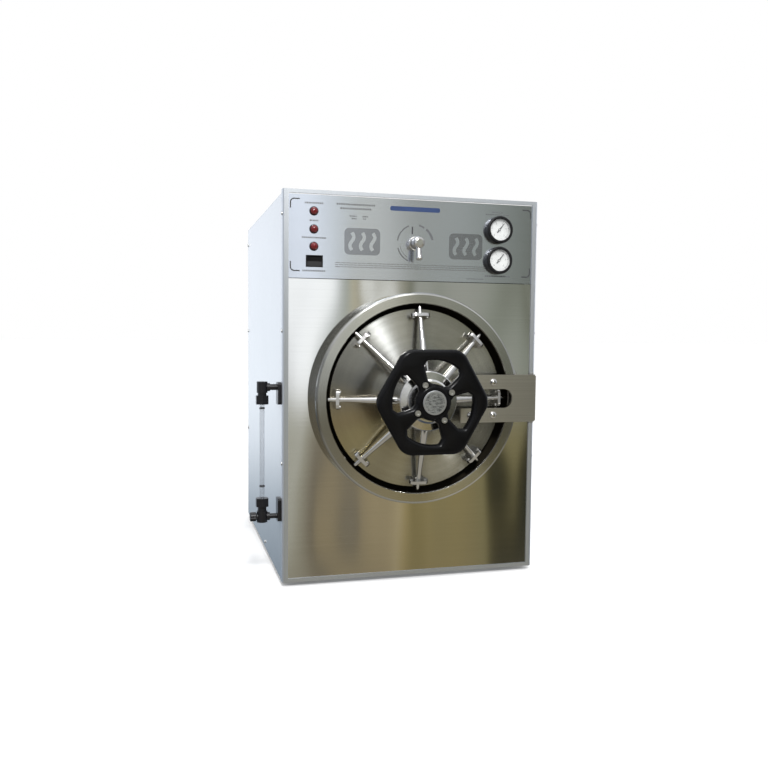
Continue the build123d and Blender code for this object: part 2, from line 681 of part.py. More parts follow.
# Cam disc: each spiral slot moves one rod's pin out by the rod's radial stroke.
def spiral_point(angle, turn):
    """Point of a cam slot, a turn in degrees past a rod's own angle."""
    radius = PIN_START + ROD_STROKE * cos(radians(ROD_SLOPE)) * turn / LOCK_ANGLE
    return (radius * cos(radians(angle + turn)), AXIS_Z + radius * sin(radians(angle + turn)))


SLOT_WIDTH = 2 * PIN_RADIUS + 0.6
SLOT_STEPS = 12
with BuildPart() as cam_disc:
    with BuildSketch(front_plane(CAM_BOTTOM)) as cam_face:
        with Locations((0, AXIS_Z)):
            Circle(HUB_CAVITY - 1)
            Circle(SPINDLE_RADIUS + 0.03, mode=Mode.SUBTRACT)
    extrude(amount=CAM_TOP - CAM_BOTTOM)
    with BuildSketch(front_plane(CAM_BOTTOM)) as cam_slots:
        for angle in ROD_ANGLES:
            points = [spiral_point(angle, LOCK_ANGLE * i / SLOT_STEPS) for i in range(SLOT_STEPS + 1)]
            with BuildLine():
                slot_line = Spline(*points)
            trace(slot_line, line_width=SLOT_WIDTH)
            with Locations(points[0], points[-1]):
                Circle(SLOT_WIDTH / 2)
    extrude(amount=CAM_TOP - CAM_BOTTOM, mode=Mode.SUBTRACT)
cam_disc.part.label = "cam_disc"
export_step(cam_disc.part, "parts/cam_disc.step")

# Eight locking rods, thick in the hub and slim at the tip, each with a pin in the cam.
TAPER = (70.0, 132.0)
PIN_FOOT = 52.0
for index, angle in enumerate(ROD_ANGLES, start=1):
    with BuildPart() as locking_rod:
        start = rod_point(angle, ROD_START)
        across = rod_plane(angle, ROD_START)
        with BuildSketch(Plane(origin=start, x_dir=across.z_dir, z_dir=across.x_dir)):
            with BuildLine():
                Polyline(
                    (0, 0),
                    (0, ROD_RADIUS - 1),
                    (1, ROD_RADIUS),
                    (along_rod(TAPER[0]), ROD_RADIUS),
                    (along_rod(TAPER[1]), ROD_TIP_RADIUS),
                    (along_rod(ROD_END) - 2.5, ROD_TIP_RADIUS),
                    (along_rod(ROD_END) - 0.8, ROD_TIP_RADIUS - 1),
                    (along_rod(ROD_END), ROD_TIP_RADIUS - 2.6),
                    (along_rod(ROD_END), 0),
                    close=True,
                )
            make_face()
        revolve(axis=Axis(start, across.z_dir))
        foot = rod_point(angle, PIN_START)
        bar(front_plane(PIN_FOOT), (foot.X, foot.Z), PIN_RADIUS, rod_axis_height(PIN_START) - PIN_FOOT)
    locking_rod.part.label = f"locking_rod_{index}"
    export_step(locking_rod.part, f"parts/locking_rod_{index}.step")

# Upright oval guides that hold the slim ends of the rods above the door.
GUIDE_WIDTH = 37.0
GUIDE_THICK = 6.0
GUIDE_TALL = 19.0
with BuildPart() as rod_guides:
    for angle in ROD_ANGLES:
        middle = rod_plane(angle, GUIDE_RADIUS)
        back = middle.offset(-GUIDE_THICK / 2)
        with BuildSketch(back):
            SlotOverall(GUIDE_WIDTH, GUIDE_TALL)
            foot_side = 1 if back.y_dir.Y > 0 else -1
            with Locations((0, foot_side * GUIDE_TALL / 2)):
                Rectangle(GUIDE_WIDTH - 10, GUIDE_TALL)
            Circle(ROD_TIP_RADIUS + RUNNING, mode=Mode.SUBTRACT)
        extrude(amount=GUIDE_THICK)
        with BuildSketch(back):
            with Locations((-13, 0), (13, 0)):
                Circle(3.2)
        extrude(amount=-2)
    turned(((0, -20), (DOOR_RADIUS + 30, -20), (DOOR_RADIUS + 30, door_height(DOOR_RADIUS + 30)),
            (CROWN_RADIUS, DOOR_CROWN), (0, DOOR_CROWN)), mode=Mode.SUBTRACT)
rod_guides.part.label = "rod_guides"
export_step(rod_guides.part, "parts/rod_guides.step")

# Flat hinge arm with a round-ended slot over the nearest rod, and two knuckles on the pin.
HINGE_AT = (HINGE_X, FRONT_Y - HINGE_STAND_OFF)
KNUCKLE_GAP = 0.5
KNUCKLES = (
    (AXIS_Z - ARM_HALF, AXIS_Z - BRACKET_HALF - KNUCKLE_GAP),
    (AXIS_Z + BRACKET_HALF + KNUCKLE_GAP, AXIS_Z + ARM_HALF),
)
with BuildPart() as hinge_arm:
    arm_y = (FRONT_Y - ARM_FRONT, FRONT_Y - ARM_BACK)
    slab((ARM_LEFT, HINGE_X), arm_y, (AXIS_Z - ARM_HALF, AXIS_Z + ARM_HALF))
    with BuildSketch(front_plane(ARM_BACK)):
        slot_centre = ARM_SLOT_END - ARM_SLOT_HALF
        with Locations((slot_centre, AXIS_Z)):
            Circle(ARM_SLOT_HALF)
        with Locations(((slot_centre + ARM_LEFT) / 2 - 5, AXIS_Z)):
            Rectangle(slot_centre - ARM_LEFT + 10, 2 * ARM_SLOT_HALF)
        with Locations(*ARM_BOLTS):
            Circle(4.1)
    extrude(amount=ARM_FRONT - ARM_BACK, mode=Mode.SUBTRACT)
    slab(
        (HINGE_X - KNUCKLE_RADIUS - 2.5, HINGE_X + 1),
        arm_y,
        (KNUCKLES[0][1], KNUCKLES[1][0]),
        mode=Mode.SUBTRACT,
    )
    for low, high in KNUCKLES:
        bar(Plane.XY.offset(low), HINGE_AT, KNUCKLE_RADIUS, high - low)
        bar(Plane.XY.offset(low), HINGE_AT, HINGE_PIN_RADIUS + 0.05, high - low, mode=Mode.SUBTRACT)
hinge_arm.part.label = "hinge_arm"
export_step(hinge_arm.part, "parts/hinge_arm.step")

# Dome-headed bolts with their spacers, between the arm and the door.
DOME_RADIUS = 7.0
with BuildPart() as hinge_arm_bolts:
    for at in ARM_BOLTS:
        turned(
            (
                (0, PAD_HEIGHT),
                (8, PAD_HEIGHT),
                (8, ARM_BACK),
                (4, ARM_BACK),
                (4, ARM_FRONT),
                (DOME_RADIUS, ARM_FRONT),
                (DOME_RADIUS, ARM_FRONT + 1.5),
                (DOME_RADIUS * 0.86, ARM_FRONT + 3.2),
                (DOME_RADIUS * 0.5, ARM_FRONT + 4.6),
                (0, ARM_FRONT + 5),
            ),
            at,
        )
hinge_arm_bolts.part.label = "hinge_arm_bolts"
export_step(hinge_arm_bolts.part, "parts/hinge_arm_bolts.step")

# Fixed hinge bracket: base plate on the panel, web, and the middle knuckle.
with BuildPart() as hinge_bracket:
    slab((203, 238), (FRONT_Y - BRACKET_BASE, FRONT_Y), (AXIS_Z - 40, AXIS_Z + 40))
    slab(
        (HINGE_X - 5, HINGE_X + 5),
        (FRONT_Y - HINGE_STAND_OFF + 2, FRONT_Y - BRACKET_BASE),
        (AXIS_Z - BRACKET_HALF, AXIS_Z + BRACKET_HALF),
    )
    bar(Plane.XY.offset(AXIS_Z - BRACKET_HALF), HINGE_AT, KNUCKLE_RADIUS, 2 * BRACKET_HALF)
    bar(Plane.XY.offset(AXIS_Z - 30), HINGE_AT, HINGE_PIN_RADIUS + 0.02, 60, mode=Mode.SUBTRACT)
hinge_bracket.part.label = "hinge_bracket"
export_step(hinge_bracket.part, "parts/hinge_bracket.step")

# Hinge pin with a collar at each end.
with BuildPart() as hinge_pin:
    bar(Plane.XY.offset(AXIS_Z - ARM_HALF - 3), HINGE_AT, HINGE_PIN_RADIUS, 2 * ARM_HALF + 6)
    bar(Plane.XY.offset(AXIS_Z - ARM_HALF - 3.5), HINGE_AT, 5.5, 3)
    bar(Plane.XY.offset(AXIS_Z + ARM_HALF + 0.5), HINGE_AT, 5.5, 3)
hinge_pin.part.label = "hinge_pin"
export_step(hinge_pin.part, "parts/hinge_pin.step")

# =============================== handwheel ===============================

WHEEL_CORNER = 108.0
WHEEL_ROUND = 30.0
OPENING = (33.0, 75.0)
OPENING_ARC = 60.0
OPENING_MIDDLES = (75.0, 165.0, 255.0, 345.0)
BOSS_RADIUS = 30.0
BOSS_FRONT = 128.0
with BuildPart() as handwheel:
    with BuildSketch(front_plane(WHEEL_RIM)) as wheel_face:
        with Locations((0, AXIS_Z)):
            RegularPolygon(WHEEL_CORNER, 6)
        fillet(wheel_face.vertices(), WHEEL_ROUND)
    extrude(amount=WHEEL_FRONT - WHEEL_RIM)
    rims = handwheel.edges().group_by(Axis.Y)
    fillet(rims[0] + rims[-1], 6)
    with BuildSketch(front_plane(WHEEL_RIM)):
        for middle in OPENING_MIDDLES:
            first, last = middle - OPENING_ARC / 2, middle + OPENING_ARC / 2
            with BuildSketch(mode=Mode.PRIVATE) as opening:
                with BuildLine():
                    outer_arc = CenterArc((0, 0), OPENING[1], first, OPENING_ARC)
                    inner_arc = CenterArc((0, 0), OPENING[0], first, OPENING_ARC)
                    Line(outer_arc @ 0, inner_arc @ 0)
                    Line(outer_arc @ 1, inner_arc @ 1)
                make_face()
                fillet(opening.vertices(), 6)
            with Locations((0, AXIS_Z)):
                add(opening.sketch)
    extrude(amount=WHEEL_FRONT - WHEEL_RIM, mode=Mode.SUBTRACT)
    bar(front_plane(WHEEL_BACK), (0, AXIS_Z), BOSS_RADIUS, BOSS_FRONT - WHEEL_BACK)
    bar(front_plane(WHEEL_BACK), (0, AXIS_Z), SPINDLE_RADIUS + 0.03, 17, mode=Mode.SUBTRACT)
handwheel.part.label = "handwheel"
export_step(handwheel.part, "parts/handwheel.step")

# Plain badge disc let onto the wheel's boss.
BADGE_RADIUS = 21.7
BADGE_THICK = 1.8
with BuildPart() as wheel_badge:
    turned(
        (
            (0, BOSS_FRONT),
            (BADGE_RADIUS, BOSS_FRONT),
            (BADGE_RADIUS, BOSS_FRONT + BADGE_THICK - 0.8),
            (BADGE_RADIUS - 0.8, BOSS_FRONT + BADGE_THICK),
            (0, BOSS_FRONT + BADGE_THICK),
        )
    )
wheel_badge.part.label = "wheel_badge"
export_step(wheel_badge.part, "parts/wheel_badge.step")

# Four socket-head bolts at the roots of the spokes.
BOLT_CIRCLE = 36.0
with BuildPart() as wheel_bolts:
    for angle in (30, 120, 210, 300):
        at = (BOLT_CIRCLE * cos(radians(angle)), AXIS_Z + BOLT_CIRCLE * sin(radians(angle)))
        bar(front_plane(WHEEL_FRONT), at, 5.2, 4)
        bar(front_plane(WHEEL_FRONT + 1.5), at, 2.5, 3, mode=Mode.SUBTRACT)
wheel_bolts.part.label = "wheel_bolts"
export_step(wheel_bolts.part, "parts/wheel_bolts.step")

# Spindle that carries the wheel and the cam disc.
with BuildPart() as wheel_spindle:
    turned(
        (
            (0, HUB_FLOOR - 5.5),
            (SPINDLE_RADIUS, HUB_FLOOR - 5.5),
            (SPINDLE_RADIUS, WHEEL_BACK + 16.5),
            (0, WHEEL_BACK + 16.5),
        )
    )
wheel_spindle.part.label = "wheel_spindle"
export_step(wheel_spindle.part, "parts/wheel_spindle.step")

# =============================== controls ===============================

# Lamp bodies: thin flange in front, barrel behind.
with BuildPart() as lamp_bezels:
    for at in LAMPS:
        turned(((0, -24), (6.5, -24), (6.5, 0), (8.4, 0), (8.4, 0.8), (7.8, 1.4), (0, 1.4)), at)
lamp_bezels.part.label = "lamp_bezels"
export_step(lamp_bezels.part, "parts/lamp_bezels.step")

# Domed lamp lenses: a short cylinder under an elliptical cap.
LENS_RADIUS = 7.0
LENS_BASE = 1.4
LENS_EDGE = 3.0
LENS_DOME = 5.2
dome = []
for step in range(9):
    turn = pi / 2 * step / 8
    dome.append((LENS_RADIUS * cos(turn), LENS_EDGE + LENS_DOME * sin(turn)))
with BuildPart() as lamp_lenses:
    for at in LAMPS:
        turned([(0, LENS_BASE), (LENS_RADIUS, LENS_BASE)] + dome[:-1] + [(0, LENS_EDGE + LENS_DOME)], at)
lamp_lenses.part.label = "lamp_lenses"
export_step(lamp_lenses.part, "parts/lamp_lenses.step")

# Mains switch housing: a frame that clips into the fascia, open in front, with pivot sockets.
SWITCH_FRAME = (15.5, 10.7)
SWITCH_WELL = (13.7, 9.5)
SWITCH_PIVOT = -3.0
ROCKER_HALF_WIDTH = 13.2
with BuildPart() as switch_housing:
    with BuildSketch(front_plane(-16)):
        with Locations(SWITCH):
            Rectangle(2 * SWITCH_HALF[0], 2 * SWITCH_HALF[1])
    extrude(amount=16)
    with BuildSketch(front_plane(0)):
        with Locations(SWITCH):
            Rectangle(2 * SWITCH_FRAME[0], 2 * SWITCH_FRAME[1])
    extrude(amount=2)
    with BuildSketch(front_plane(-9)):
        with Locations(SWITCH):
            Rectangle(2 * SWITCH_WELL[0], 2 * SWITCH_WELL[1])
    extrude(amount=12, mode=Mode.SUBTRACT)
    socket_y = FRONT_Y - SWITCH_PIVOT
    bar(side_plane(SWITCH[0] - 14.4), (socket_y, SWITCH[1]), 1.25, 28.8, mode=Mode.SUBTRACT)
switch_housing.part.label = "switch_housing"
export_step(switch_housing.part, "parts/switch_housing.step")

# Rocker, a shallow V tipped to its off position about the pivot.
ROCK_ANGLE = 7.0
ROCKER_OUTLINE = ((-8.3, 0), (-8.3, 6.5), (0, 4.2), (8.3, 6.5), (8.3, 0))


def tipped(rise, depth, angle):
    """Rocker point turned about its pivot, returned as (y, z)."""
    turn = radians(angle)
    z = rise * cos(turn) - depth * sin(turn)
    stand_off = SWITCH_PIVOT + rise * sin(turn) + depth * cos(turn)
    return (FRONT_Y - stand_off, SWITCH[1] + z)


with BuildPart() as rocker_switch:
    with BuildSketch(side_plane(SWITCH[0] - ROCKER_HALF_WIDTH)):
        with BuildLine():
            Polyline(*[tipped(rise, depth, ROCK_ANGLE) for rise, depth in ROCKER_OUTLINE], close=True)
        make_face()
    extrude(amount=2 * ROCKER_HALF_WIDTH)
    bar(side_plane(SWITCH[0] - ROCKER_HALF_WIDTH), (socket_y, SWITCH[1]), 2.4, 2 * ROCKER_HALF_WIDTH)
    bar(side_plane(SWITCH[0] - 14.2), (socket_y, SWITCH[1]), 1.2, 28.4)
rocker_switch.part.label = "rocker_switch"
export_step(rocker_switch.part, "parts/rocker_switch.step")

# Rotary valve behind the fascia, its neck and nut in front.
STEM_RADIUS = 5.0
with BuildPart() as selector_valve:
    turned(
        (
            (0, -62),
            (20, -62),
            (20, -2),
            (8.5, -2),
            (8.5, 0),
            (13, 0),
            (13, 4.5),
            (11.5, 6),
            (STEM_RADIUS + 0.05, 6),
            (STEM_RADIUS + 0.05, -14),
            (0, -14),
        ),
        SELECTOR,
    )
    for side in SIDES:
        start = 18 if side > 0 else -30
        bar(side_plane(start), (FRONT_Y + 45, SELECTOR[1]), 8, 12)
selector_valve.part.label = "selector_valve"
export_step(selector_valve.part, "parts/selector_valve.step")

# Selector lever: stem, round hub and a handle that hangs down, a little away from the panel.
HANDLE_STAND_OFF = 21.0
HANDLE_TILT = radians(12)
HANDLE_TAPER = ((6.0, 4.6), (31.0, 6.2), (33.0, 5.0))
handle_plane = Plane(
    origin=(SELECTOR[0], FRONT_Y - HANDLE_STAND_OFF, SELECTOR[1]),
    x_dir=(1, 0, 0),
    z_dir=(0, -sin(HANDLE_TILT), -cos(HANDLE_TILT)),
)
with BuildPart() as selector_lever:
    turned(
        (
            (0, -13.5),
            (STEM_RADIUS, -13.5),
            (STEM_RADIUS, 8),
            (9.5, 11),
            (11, 14.5),
            (11, 26.5),
            (9.6, 29.6),
            (6, 31),
            (0, 31),
        ),
        SELECTOR,
    )
    for near, far in zip(HANDLE_TAPER, HANDLE_TAPER[1:]):
        for reach, radius in (near, far):
            with BuildSketch(handle_plane.offset(reach)):
                Circle(radius)
        loft()
selector_lever.part.label = "selector_lever"
export_step(selector_lever.part, "parts/selector_lever.step")

# Round pressure gauges: black cases, dial plates with a centre pivot, flat glasses.
DIAL_BACK = 6.0
DIAL_FRONT = 6.6
PIVOT_RADIUS = 1.0
with BuildPart() as gauge_cases:
    for at in GAUGES:
        turned(
            (
                (0, -28),
                (GAUGE_NECK, -28),
                (GAUGE_NECK, 0),
                (26.2, 0),
                (26.2, 11),
                (25.4, 13.2),
                (23.8, 14),
                (21, 14),
                (20.6, 12),
                (23, 12),
                (23, DIAL_BACK),
                (0, DIAL_BACK),
            ),
            at,
        )
gauge_cases.part.label = "gauge_cases"
export_step(gauge_cases.part, "parts/gauge_cases.step")

with BuildPart() as gauge_dials:
    for at in GAUGES:
        turned(
            (
                (0, DIAL_BACK),
                (22.8, DIAL_BACK),
                (22.8, DIAL_FRONT),
                (PIVOT_RADIUS, DIAL_FRONT),
                (PIVOT_RADIUS, 9.4),
                (0, 9.4),
            ),
            at,
        )
gauge_dials.part.label = "gauge_dials"
export_step(gauge_dials.part, "parts/gauge_dials.step")

with BuildPart() as gauge_lenses:
    for at in GAUGES:
        turned(((0, 10.6), (22.8, 10.6), (22.8, 12), (0, 12)), at)
gauge_lenses.part.label = "gauge_lenses"
export_step(gauge_lenses.part, "parts/gauge_lenses.step")

# Gauge pointers, tapered, with a short tail, set to the upper right of the dial.
POINTER_ANGLE = 52.0
POINTER_NAMES = ("chamber_gauge_needle", "jacket_gauge_needle")
for name, (x, z) in zip(POINTER_NAMES, GAUGES):
    with BuildPart() as needle:
        with BuildSketch(Plane(origin=(x, FRONT_Y - 7.2, z), x_dir=(1, 0, 0), z_dir=(0, -1, 0))):
            with BuildSketch(mode=Mode.PRIVATE) as pointer:
                Polygon((-7, -1.3), (0, -1.5), (16.5, -0.35), (16.5, 0.35), (0, 1.5), (-7, 1.3), align=None)
                Circle(2.6)
                Circle(PIVOT_RADIUS + 0.05, mode=Mode.SUBTRACT)
            add(pointer.sketch, rotation=POINTER_ANGLE)
        extrude(amount=0.9)
    needle.part.label = name
    export_step(needle.part, f"parts/{name}.step")

# =============================== water gauge ===============================

GAUGE_AT = (GAUGE_X, GAUGE_Y)
PLATE_THICK = 6.4
PLATE_HALF = 13.0
BODY_HALF = 10.3
NUT_ACROSS = 22.0


def gauge_plate(low, high):
    """Oblong base plate on the side panel, between two heights."""
    slab((-HALF_WIDTH - PLATE_THICK, -HALF_WIDTH), (GAUGE_Y - PLATE_HALF, GAUGE_Y + PLATE_HALF), (low, high))


def gauge_nut(low, high):
    """Hexagonal gland nut round the glass."""
    with BuildSketch(Plane.XY.offset(low)) as hexagon:
        with Locations(GAUGE_AT):
            RegularPolygon(NUT_ACROSS / 2, 6, major_radius=False, rotation=30)
    extrude(hexagon.sketch, amount=high - low)


with BuildPart() as upper_sight_fitting:
    gauge_plate(GAUGE_TOP_Z - 32, GAUGE_TOP_Z + 9)
    fillet(upper_sight_fitting.edges().filter_by(Axis.X), 4)
    bar(side_plane(GAUGE_X), (GAUGE_Y, GAUGE_TOP_Z), 5.6, -HALF_WIDTH - PLATE_THICK - GAUGE_X)
    bar(side_plane(GAUGE_X + 8), (GAUGE_Y, GAUGE_TOP_Z), 7.6, 6)
    bar(Plane.XY.offset(GAUGE_TOP_Z - BODY_HALF), GAUGE_AT, BODY_HALF - 0.4, 2 * BODY_HALF)
    bar(Plane.XY.offset(GAUGE_TOP_Z - 16), GAUGE_AT, 8, 8)
    gauge_nut(GAUGE_TOP_Z - 31.5, GAUGE_TOP_Z - 15.5)
    bar(Plane.XY.offset(GAUGE_TOP_Z - 32), GAUGE_AT, GLASS_RADIUS + 0.05, 14, mode=Mode.SUBTRACT)
upper_sight_fitting.part.label = "upper_sight_fitting"
export_step(upper_sight_fitting.part, "parts/upper_sight_fitting.step")

KNOB_START = GAUGE_X - BODY_HALF - 1.0
with BuildPart() as lower_sight_fitting:
    gauge_plate(GAUGE_BOTTOM_Z - 9, GAUGE_BOTTOM_Z + 34)
    fillet(lower_sight_fitting.edges().filter_by(Axis.X), 4)
    bar(side_plane(GAUGE_X), (GAUGE_Y, GAUGE_BOTTOM_Z), 4.8, -HALF_WIDTH - PLATE_THICK - GAUGE_X)
    bar(side_plane(GAUGE_X + 8), (GAUGE_Y, GAUGE_BOTTOM_Z), 7.6, 6)
    bar(Plane.XY.offset(GAUGE_BOTTOM_Z - BODY_HALF), GAUGE_AT, BODY_HALF - 0.4, 2 * BODY_HALF)
    bar(Plane.XY.offset(GAUGE_BOTTOM_Z + 8), GAUGE_AT, 8, 12)
    gauge_nut(GAUGE_BOTTOM_Z + 19, GAUGE_BOTTOM_Z + 34.5)
    bar(Plane.XY.offset(GAUGE_BOTTOM_Z + 21), GAUGE_AT, GLASS_RADIUS + 0.05, 20, mode=Mode.SUBTRACT)
    bar(side_plane(GAUGE_X - BODY_HALF), (GAUGE_Y, GAUGE_BOTTOM_Z), 6.5, 6)
    bar(side_plane(KNOB_START - 1), (GAUGE_Y, GAUGE_BOTTOM_Z), 2.56, 8, mode=Mode.SUBTRACT)
lower_sight_fitting.part.label = "lower_sight_fitting"
export_step(lower_sight_fitting.part, "parts/lower_sight_fitting.step")

# Gauge glass between the two glands.
GLASS_Z = (GAUGE_BOTTOM_Z + 21.5, GAUGE_TOP_Z - 18.5)
with BuildPart() as sight_glass:
    with BuildSketch(Plane.XY.offset(GLASS_Z[0])):
        with Locations(GAUGE_AT):
            Circle(GLASS_RADIUS)
            Circle(GLASS_RADIUS - 1.6, mode=Mode.SUBTRACT)
    extrude(amount=GLASS_Z[1] - GLASS_Z[0])
sight_glass.part.label = "sight_glass"
export_step(sight_glass.part, "parts/sight_glass.step")

# Fluted drain cock knob on the lower fitting, with its stem.
KNOB_RADIUS = 8.5
KNOB_LENGTH = 11.0
with BuildPart() as drain_cock_knob:
    bar(side_plane(KNOB_START - KNOB_LENGTH), (GAUGE_Y, GAUGE_BOTTOM_Z), KNOB_RADIUS, KNOB_LENGTH)
    chamfer(drain_cock_knob.edges().filter_by(GeomType.CIRCLE), 0.8)
    with BuildSketch(side_plane(KNOB_START - KNOB_LENGTH)):
        with Locations((GAUGE_Y, GAUGE_BOTTOM_Z)):
            with PolarLocations(KNOB_RADIUS + 1.2, 6):
                Circle(2.2)
    extrude(amount=KNOB_LENGTH, mode=Mode.SUBTRACT)
    bar(side_plane(KNOB_START - 1), (GAUGE_Y, GAUGE_BOTTOM_Z), 2.5, 7.5)
drain_cock_knob.part.label = "drain_cock_knob"
export_step(drain_cock_knob.part, "parts/drain_cock_knob.step")

# =============================== services ===============================

# Spring safety valve on the roof, over its own riser.
with BuildPart() as safety_valve:
    turned_upright(
        (
            (0, ROOF_Z),
            (13, ROOF_Z),
            (13, ROOF_Z + 9),
            (9.5, ROOF_Z + 10),
            (9.5, ROOF_Z + 30),
            (7.5, ROOF_Z + 33),
            (3, ROOF_Z + 33),
            (3, ROOF_Z + 38),
            (0, ROOF_Z + 38),
        ),
        SAFETY_VALVE,
    )
    with Locations((SAFETY_VALVE[0], SAFETY_VALVE[1], ROOF_Z + 46)):
        Torus(8.5, 1.4, rotation=(90, 0, 0))
safety_valve.part.label = "safety_valve"
export_step(safety_valve.part, "parts/safety_valve.step")


# Steam and water pipes. Each runs straight, with one bend.
def pipe(points, bend, radius):
    """Round pipe along straight runs joined by arcs."""
    first, second = Vector(*points[0]), Vector(*points[1])
    with BuildLine() as route:
        FilletPolyline(*points, radius=bend)
    with BuildSketch(Plane(origin=first, z_dir=second - first)) as end:
        Circle(radius)
    sweep(end.sketch, path=route.wires()[0])


VALVE_SIDE_Y = FRONT_Y + 45.0
VESSEL_TOP_Z = AXIS_Z + VESSEL_RADIUS
RISER_FOOT = AXIS_Z + sqrt(VESSEL_RADIUS**2 - (SAFETY_VALVE[0] - 6.5) ** 2)
DRAIN_Y = 110.0
with BuildPart() as steam_pipes:
    pipe(((0, FRONT_Y + 62.1, SELECTOR[1]), (0, -150, SELECTOR[1]), (0, -150, VESSEL_TOP_Z + 0.1)), 20, 5)
    pipe(((-30.1, VALVE_SIDE_Y, SELECTOR[1]), (-90, VALVE_SIDE_Y, SELECTOR[1]),
          (-90, TANK_Y[0] - 0.1, SELECTOR[1])), 20, 5)
    pipe(((30.1, VALVE_SIDE_Y, SELECTOR[1]), (STEAM_OUTLET[0], VALVE_SIDE_Y, SELECTOR[1]),
          (STEAM_OUTLET[0], 0, SELECTOR[1])), 20, 5)
    bar(front_plane(-DEPTH - 4), STEAM_OUTLET, 5, DEPTH / 2 + 4.5)
    bar(Plane.XY.offset(RISER_FOOT + 0.3), SAFETY_VALVE, 6, ROOF_Z - RISER_FOOT - 0.4)
    pipe(((0, DRAIN_Y, AXIS_Z - VESSEL_RADIUS - 0.1), (0, DRAIN_Y, DRAIN_OUTLET[1]),
          (0, REAR_Y - 1, DRAIN_OUTLET[1])), 30, 6)
    bar(front_plane(-DEPTH - 4), DRAIN_OUTLET, 6, 6)
    for at, radius in ((STEAM_OUTLET, STEAM_TAIL), (DRAIN_OUTLET, DRAIN_TAIL)):
        bar(front_plane(-DEPTH - 4.2), at, 12, 4)
        bar(front_plane(FRONT_Y - OUTLET_END), at, radius, OUTLET_END - REAR_Y - 4)
steam_pipes.part.label = "steam_pipes"
export_step(steam_pipes.part, "parts/steam_pipes.step")

# Mains inlet: a flanged socket with three blades, in the rear panel.
with BuildPart() as power_inlet:
    with BuildSketch(front_plane(-DEPTH + 24)):
        with Locations(POWER_INLET):
            Rectangle(2 * INLET_HALF[0] - 0.4, 2 * INLET_HALF[1] - 0.4)
    extrude(amount=-24)
    with BuildSketch(front_plane(-DEPTH)):
        with Locations(POWER_INLET):
            RectangleRounded(50, 24, 4)
    extrude(amount=-3)
    with BuildSketch(front_plane(-DEPTH - 5)):
        with Locations(POWER_INLET):
            RectangleRounded(24, 16.5, 2.5)
    extrude(amount=21, mode=Mode.SUBTRACT)
    for x, z in ((-7, -2), (0, 3), (7, -2)):
        slab(
            (POWER_INLET[0] + x - 1, POWER_INLET[0] + x + 1),
            (REAR_Y - 17, REAR_Y - 1),
            (POWER_INLET[1] + z - 2, POWER_INLET[1] + z + 2),
        )
power_inlet.part.label = "power_inlet"
export_step(power_inlet.part, "parts/power_inlet.step")
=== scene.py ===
import math
import random

import bmesh
import bpy
from mathutils import Matrix, Vector


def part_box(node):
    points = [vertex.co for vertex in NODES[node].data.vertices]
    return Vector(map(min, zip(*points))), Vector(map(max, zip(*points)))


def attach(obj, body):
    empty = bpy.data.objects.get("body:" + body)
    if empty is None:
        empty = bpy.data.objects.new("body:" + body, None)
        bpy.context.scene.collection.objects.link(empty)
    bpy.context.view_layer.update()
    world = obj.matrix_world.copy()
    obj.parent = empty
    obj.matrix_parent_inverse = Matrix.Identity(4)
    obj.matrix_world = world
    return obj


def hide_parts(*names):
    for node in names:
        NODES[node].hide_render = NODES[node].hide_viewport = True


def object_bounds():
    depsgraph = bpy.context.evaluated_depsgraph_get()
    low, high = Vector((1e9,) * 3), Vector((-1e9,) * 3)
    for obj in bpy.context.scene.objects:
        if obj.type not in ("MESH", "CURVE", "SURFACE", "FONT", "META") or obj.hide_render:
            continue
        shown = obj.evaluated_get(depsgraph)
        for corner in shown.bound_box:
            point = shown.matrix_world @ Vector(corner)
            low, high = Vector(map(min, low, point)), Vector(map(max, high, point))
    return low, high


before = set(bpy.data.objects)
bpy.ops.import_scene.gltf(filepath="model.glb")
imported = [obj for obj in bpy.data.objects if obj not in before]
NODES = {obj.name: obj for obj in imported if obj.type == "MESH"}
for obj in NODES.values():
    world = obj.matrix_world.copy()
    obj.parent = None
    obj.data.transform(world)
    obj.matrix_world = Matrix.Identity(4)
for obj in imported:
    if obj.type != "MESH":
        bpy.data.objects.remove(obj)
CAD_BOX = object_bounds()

# Looks of the benchtop autoclave. Metres, +Z up, the front faces -Y.
# "Stand-off" is the distance in front of the front panel. Drawings are in millimetres.

RING_LOW, RING_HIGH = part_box("door_ring")
FRONT_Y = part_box("front_panel")[0].y
FASCIA_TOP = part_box("control_fascia")[1].z
AXIS = (RING_LOW + RING_HIGH) / 2
MM = 0.001
AXIS_HEIGHT = AXIS.z / MM
SMOOTH_ANGLE = 28.0

# Noise scales of the steel: along and across straight grain, and across turned grain.
GRAIN_LONG = 3.0
GRAIN_FINE = 1500.0
GRAIN_TURNED = 1400.0
# The coarse grain is drawn at this share of the fine grain's scale.
SHEET_COARSE = 0.12
TURNED_COARSE = 0.08
# Strength and depth of the grain's bump.
GRAIN_BUMP = (0.06, 0.0001)
# Painted shade in the groove behind the door ring's lip, and how dull the steel is there.
RECESS_PAINTED_SHADE = (0.030, 0.026, 0.018)
RECESS_ROUGHNESS = 0.7


# ------------------------------------------------------------------ node helpers


